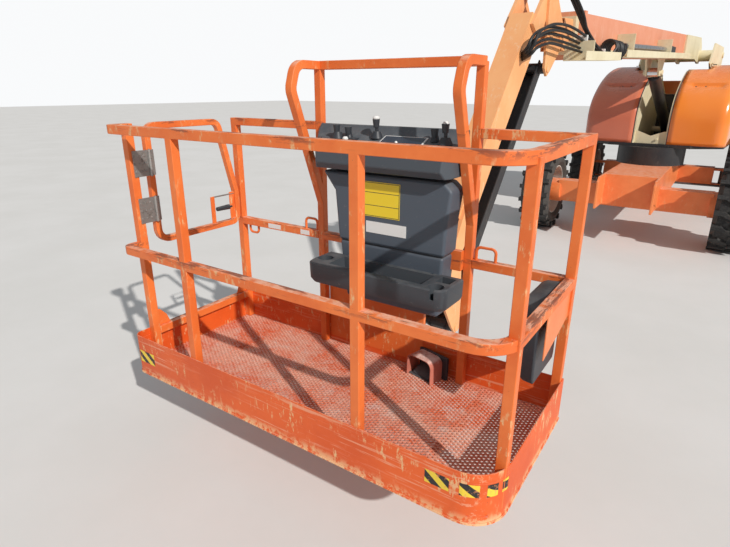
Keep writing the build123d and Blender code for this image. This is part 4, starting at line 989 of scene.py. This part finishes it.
def hazard_marks():
    """Yellow and black stripes on the toe board, each a strip that follows the plan."""
    outer = [Vector(p) for p in plan(LIP - 0.0006)]
    lengths = [0.0]
    for first, second in zip(outer, outer[1:]):
        lengths.append(lengths[-1] + (second - first).length)

    def spot(along):
        k = next(k for k in range(len(outer) - 1) if along <= lengths[k + 1])
        return outer[k].lerp(outer[k + 1], (along - lengths[k]) / (lengths[k + 1] - lengths[k]))

    shape = Shape(PLATFORM)
    front_start = lengths[9] - GATE_CORNER
    steps = 6
    # start and finish along the plan from the front's left corner, bottom, top
    for start, finish, low, high in ((0.020, 0.150, 0.066, 0.126), (1.612, 1.700, 0.108, 0.158),
                                     (1.735, 1.800, 0.112, 0.160), (1.825, 1.865, 0.112, 0.160),
                                     (1.885, 1.915, 0.112, 0.160)):
        places = [spot(front_start + start + (finish - start) * k / steps) for k in range(steps + 1)]
        for first, second in zip(places, places[1:]):
            corners = ((first, low), (second, low), (second, high), (first, high))
            shape.mesh.faces.new([shape.mesh.verts.new((p.x, p.y, z)) for p, z in corners])
    shape.done("hazard_stripes", "hazard", "platform")


def loose_fittings():
    """Bracket and tab beside the console, and the blank labels on the rear mid rail."""
    boxes("console_bracket", "rail_orange", "platform", "rail_orange", 0.002,
          [((1.275, 0.694, 0.600), (1.393, 0.7215, 0.688)), ((1.262, 0.700, 0.735), (1.290, 0.7215, 0.790))])
    boxes("rail_labels", "plate_white", "platform", None, 0.0,
          [((start, REAR_FACE - 0.0008, MID_RAIL - 0.012), (finish, REAR_FACE, MID_RAIL + 0.012))
           for start, finish in ((0.245, 0.335), (0.475, 0.535))])


# Turntable

def hood_profile():
    """Side outline from the front foot over the top to the tail's foot: y, z and the outward angle."""
    rows = [(HOOD_FRONT, z, 180.0) for z in (HOOD_FOOT, 1.12, 1.25, SHOULDER)]

    def bend(middle, radius, first, last, steps):
        for k in range(1, steps + 1):
            angle = first + (last - first) * k / steps
            rows.append((*on_circle(middle, radius, angle), angle))

    bend((HOOD_FRONT + SHOULDER_RADIUS, SHOULDER), SHOULDER_RADIUS, 180, 180 - SHOULDER_TURN, 10)
    bend((crown_y, crown_z), crown_radius, 180 - SHOULDER_TURN, 90, 36)
    for k in range(1, 4):
        rows.append((crown_y + (CROWN_END - crown_y) * k / 3, HOOD_TOP, 90.0))
    bend((CROWN_END, HOOD_TOP - TAIL_RADIUS), TAIL_RADIUS, 90, 90 - TAIL_TURN, 10)
    y, z, angle = rows[-1]
    for k in range(1, 5):
        drop = (z - HOOD_FOOT) * k / 4
        rows.append((y + drop * tan(radians(angle)), z - drop, angle))
    return rows


def grip_depth(across, angle):
    """Depth of the grip that is pressed into the front of the crown."""
    side = max(0.0, abs(across - GRIP_MIDDLE) - GRIP_HALF + GRIP_EDGE) / (2 * GRIP_EDGE)
    rise = (angle - GRIP_ANGLE) / GRIP_TURN
    if side >= 1 or not 0 <= rise <= 1:
        return 0.0
    return GRIP_DEPTH * (1 - side * side * (3 - 2 * side)) * (1 - rise) ** 2


def hood_shell(name, side, rows, body):
    """A crown with a rounded outer edge and a side; its inner strip is left out beside the ears."""
    flat = [HOOD_IN, 0.28, 0.33, 0.36, 0.40, HOOD_SPLIT, 0.50, 0.55, 0.60, 0.65, 0.68, 0.71,
            HOOD_OUT - HOOD_EDGE]
    shape = Shape(UPPER)
    grid = []
    for y, z, angle in rows:
        ring = [(side * across, *on_circle((y, z), -grip_depth(across, angle), angle)) for across in flat]
        for k in range(1, 7):
            bend = radians(15 * k)
            x = HOOD_OUT - HOOD_EDGE + HOOD_EDGE * sin(bend)
            y_in, z_in = on_circle((y, z), -HOOD_EDGE * (1 - cos(bend)), angle)
            ring.append((side * x, y_in, max(z_in, HOOD_FOOT)))
        grid.append([shape.mesh.verts.new(Vector(p)) for p in ring])
    split = flat.index(HOOD_SPLIT)
    for (y, z, angle), first, second in zip(rows[1:], grid, grid[1:]):
        for k in range(len(first) - 1):
            if k < split and y > EAR_REACH:
                continue
            corners = (first[k], first[k + 1], second[k + 1], second[k])
            shape.mesh.faces.new(corners if side > 0 else corners[::-1])
    last = [ring[-1] for ring in grid]
    shape.mesh.faces.new(last if side < 0 else last[::-1])
    loose = [v for v in shape.mesh.verts if not v.link_faces]
    bmesh.ops.delete(shape.mesh, geom=loose, context="VERTS")
    # The left hood takes the darker copy of the hood paint, as painted shade
    look = "hood_shaded" if side < 0 else "hood_orange"
    obj = shape.done(name, look, body, "hood_orange", outward=False)
    thick = obj.modifiers.new("wall", "SOLIDIFY")
    thick.thickness = HOOD_WALL
    thick.offset = -1
    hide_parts("hood_l" if side < 0 else "hood_r")


def hood(name, side):
    """A hood's shell with the black seal on its inner edge, two plugs in the grip and its hinge barrels."""
    rows = hood_profile()
    body = "hood_left" if side < 0 else "hood_right"
    hood_shell(name, side, rows, body)
    trim = Shape(UPPER)
    x = side * (HOOD_IN - 0.003)
    rings = []
    for y, z, angle in rows:
        if y <= EAR_REACH:
            inner_y, inner_z = on_circle((y, z), -0.014, angle)
            rings.append([(x - 0.004, y, z), (x + 0.004, y, z), (x + 0.004, inner_y, inner_z),
                          (x - 0.004, inner_y, inner_z)])
    trim.loft(rings)
    start = on_circle((crown_y, crown_z), crown_radius - 0.020, PLUG_ANGLE)
    finish = on_circle((crown_y, crown_z), crown_radius - 0.016, PLUG_ANGLE)
    for across in (0.390, 0.500):
        trim.rod((side * across, *start), (side * across, *finish), 0.009, 12)
    trim.done(name + "_seal", "black_plastic", body, "black_plastic")
    hinges = Shape(UPPER)
    half = 0.0155
    near, far = sorted((side * 0.456, side * 0.500))
    for y in HOOD_HINGES_Y:
        hinges.pin((side * HOOD_HINGE_X, y, HOOD_HINGE_Z), half, "y", 0.012)
        hinges.box((near, y - half, 2.084), (far, y + half, 2.092))
    hinges.done(name + "_hinges", "black", body, "black", 0.001)


def turret():
    """Cheek plates that follow the hoods, ears with the boom's pin, cross plates and hinge barrels."""
    shape = Shape(UPPER)
    top = TURNTABLE_TOP
    ear_top = 2.360
    plate_top = 2.010
    front = [on_circle((y, z), -0.008, angle) for y, z, angle in hood_profile() if y < 0.9]
    front = [(y, min(z, plate_top)) for y, z in front]
    cheek = [(front[0][0], top)] + front
    cheek += [(0.900, plate_top), (1.000, 1.900), (1.400, 1.700), (1.660, 1.700), (1.660, top)]
    ear = [(1.150, top), (1.150, 1.760), (0.450, 2.100), (0.650, ear_top), (BOOM_PIN_Y, ear_top),
           (1.710, BOOM_PIN_Z), (1.710, top)]
    for side in (-1, 1):
        for points, low, high in ((cheek, 0.190, 0.205), (ear, 0.420, 0.440)):
            shape.prism(points, "x", *sorted((side * low, side * high)))
        low, high = sorted((side * 0.205, side * 0.430))
        shape.box((low, EAR_FRONT, 1.120), (high, EAR_FRONT + 0.012, 1.700))
    shape.pin((0, BOOM_PIN_Y, BOOM_PIN_Z), 0.455, "x", 0.040, 24)
    shape.box((-0.420, 1.640, top), (0.420, 1.680, 1.700))
    shape.pin((0, 0.850, 1.200), 0.204, "x", 0.040, 20)
    half, rise = 0.190, top + 0.16
    y = HOOD_FRONT + 0.040
    vee = [(-half, top), (-half, rise), (-half + 0.03, rise), (0, top + 0.10), (half - 0.03, rise),
           (half, rise), (half, top)]
    shape.prism(vee, "y", y, y + 0.012)
    shape.rod((0.085, y - 0.020, top + 0.055), (0.085, y, top + 0.055), 0.014, 12)
    for side in (-1, 1):
        x = side * HOOD_HINGE_X
        low, high = sorted((side * 0.439, side * 0.453))
        for place in HOOD_HINGES_Y:
            for middle in (place - 0.032, place + 0.032):
                shape.pin((x, middle, HOOD_HINGE_Z), 0.016, "y", 0.012)
                shape.box((low, middle - 0.016, 2.092), (high, middle + 0.016, 2.104))
            shape.pin((x, place, HOOD_HINGE_Z), 0.048, "y", 0.0055, 10)
    plates = shape.done("turret_plates", "cream", "turntable", "cream", 0.002)
    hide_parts("turret")


def between_hoods():
    """Panels painted black as shade behind and under the boom, seen between the cheek plates, and the pale
    strip in front.
    """
    half = 0.186
    # Black panels that stand for the shade between the cheek plates
    boxes("turntable_shade_panels", "black", "turntable", "black", 0.0,
          [((-half, 1.015, 1.078), (half, 1.025, 1.700)), ((-half, -0.190, 1.0755), (half, 1.015, 1.079))],
          UPPER)
    boxes("turntable_strip", "cream", "turntable", "cream", 0.002,
          [((-0.200, HOOD_FRONT + 0.010, 1.030), (0.200, HOOD_FRONT + 0.020, 1.074))], UPPER)


def nose_hoses():
    """Hoses from the boom's nose over to the tray beside the boom, with their clamps."""
    fan = Shape(UPPER)
    # rise over the first hose, and how far the hose lies to the side
    for rise, side in ((0.0, 0.0), (0.018, 0.020), (0.036, -0.005), (0.050, 0.028), (-0.030, 0.010),
                       (-0.055, 0.024)):
        path = [(0.050 + side * 0.3, -4.960, 1.945 + rise * 0.3), (0.130 + side, -5.035, 1.985 + rise * 0.4),
                (0.150 + side, -4.995, 2.045 + rise * 0.8), (0.155 + side, -4.820, 2.090 + rise),
                (0.160 + side, -4.620, 2.098 + rise * 1.2), (0.168 + side, -4.420, 2.088 + rise * 1.2),
                (0.180 + side, -4.200, 2.066 + rise), (0.190 + side * 0.6, -3.900, 2.040 + rise * 0.6),
                (0.195 + side * 0.4, -3.680, 2.015)]
        fan.tube(smooth_path(path), 0.018, 8)
    fan.done("nose_hoses", "rubber_hose", "fly_boom", "black_plastic")
    boxes("nose_hose_clamps", "plate_white", "fly_boom", "steel", 0.002,
          [((0.142, -4.215, 2.040), (0.222, -4.195, 2.125)),
           ((0.142, -3.745, 2.000), (0.222, -3.725, 2.060))], UPPER)
    high = Shape(UPPER)
    for side in (0.0, 0.018, 0.036):
        path = [(0.110 + side, -4.560, 2.440), (0.140 + side, -4.430, 2.350), (0.165 + side, -4.300, 2.250),
                (0.180 + side * 0.5, -4.180, 2.170), (0.190 + side * 0.5, -4.020, 2.100),
                (0.195 + side * 0.3, -3.860, 2.050)]
        high.tube(smooth_path(path), 0.019, 10)
    high.done("nose_hoses_upper", "rubber_hose", "fly_boom", "black_plastic")


def tray_fittings():
    """Coil of hose and a junction box in the tray beside the boom."""
    coil = Shape(UPPER)
    radius, count = 0.062, 6 * 20
    path = [(0.200, -3.640, 2.010), (0.246, -3.600, 2.035)]
    for k in range(count + 1):
        angle = 2 * pi * k / 20
        path.append((0.195 + radius * cos(angle), -3.560 + 0.300 * k / count, 2.075 + radius * sin(angle)))
    path += [(0.246, -3.220, 2.115), (0.200, -3.150, 2.010)]
    coil.tube(path, 0.020, 8)
    coil.done("tray_hose_coil", "rubber_hose", "base_boom", "black_plastic")
    boxes("tray_junction_box", "black", "base_boom", "black", 0.006,
          [((0.150, -1.330, 2.130), (0.245, -1.000, 2.225))], UPPER)


expanded_metal("deck", "platform")
toe_board()
rails()
hinge_leaves()
console_guard()
gate()
console_body()
console_tray()
console_panel()
console_controls()
manual_box()
foot_guard()
hazard_marks()
turret()
hood("hood_left_shell", -1)
hood("hood_right_shell", 1)
between_hoods()
nose_hoses()
tray_fittings()
loose_fittings()

# Small radii on the pressed and welded pieces: node, radius
for name, radius in (("chassis_frame", 0.005), ("boom_base", 0.006), ("boom_fly", 0.006), ("jib", 0.008),
                     ("jib_link", 0.003), ("nose_knuckle", 0.003), ("counterweight", 0.02),
                     ("platform_support", 0.003), ("rotator_bracket", 0.003), ("hose_tray", 0.002)):
    weld = nodes[name].modifiers.new("weld", "WELD")
    weld.merge_threshold = 0.00005
    round_edges(nodes[name], radius)


# Camera, light and floor

def camera():
    data = bpy.data.cameras.new("photo_camera")
    data.lens = CAMERA_LENS
    data.sensor_width = 36.0
    data.sensor_fit = "HORIZONTAL"
    data.clip_end = 200.0
    obj = add_object("photo_camera", data)
    turn = Matrix.Rotation(radians(CAMERA_LEFT), 4, "Z")
    tilt = Matrix.Rotation(radians(90.0 - CAMERA_DOWN), 4, "X")
    roll = Matrix.Rotation(radians(CAMERA_ROLL), 4, "Z")
    obj.matrix_world = Matrix.Translation(CAMERA_PLACE) @ turn @ tilt @ roll
    scene.camera = obj


def sun():
    data = bpy.data.lights.new("sun", "SUN")
    data.energy = SUN_STRENGTH
    data.angle = radians(SUN_SOFTNESS)
    data.color = SUN_COLOR
    turn = Matrix.Rotation(radians(SUN_FROM), 4, "Z")
    tilt = Matrix.Rotation(radians(90.0 - SUN_ELEVATION), 4, "X")
    add_object("sun", data).matrix_world = turn @ tilt


def sky():
    """Sky light on the object and a pale backdrop for the camera."""
    world = bpy.data.worlds.new("studio")
    world.use_nodes = True
    scene.world = world
    tree = world.node_tree
    background = tree.nodes["Background"]
    background.inputs["Color"].default_value = (*SKY_COLOR, 1.0)
    background.inputs["Strength"].default_value = SKY_STRENGTH
    pale = tree.nodes.new("ShaderNodeBackground")
    pale.inputs["Color"].default_value = (*BACKDROP_COLOR, 1.0)
    paths = tree.nodes.new("ShaderNodeLightPath")
    blend = tree.nodes.new("ShaderNodeMixShader")
    tree.links.new(paths.outputs["Is Camera Ray"], blend.inputs["Fac"])
    tree.links.new(background.outputs["Background"], blend.inputs[1])
    tree.links.new(pale.outputs["Background"], blend.inputs[2])
    tree.links.new(blend.outputs["Shader"], tree.nodes["World Output"].inputs["Surface"])


def floor():
    reach = FLOOR_REACH
    mesh = bpy.data.meshes.new("floor")
    mesh.from_pydata([(-reach, -reach, 0), (reach, -reach, 0), (reach, reach, 0), (-reach, reach, 0)], [],
                     [(0, 1, 2, 3)])
    look = Look("floor")
    cloud = look.spots(0.9, 5.0, 0.6, 0.3, 0.7)
    mesh.materials.append(look.finish(look.mix(cloud, (0.74, 0.73, 0.71), (0.78, 0.77, 0.755)), 0.85))
    obj = add_object("floor", mesh)


camera()
sun()
sky()
floor()
scene.view_settings.view_transform = "Standard"
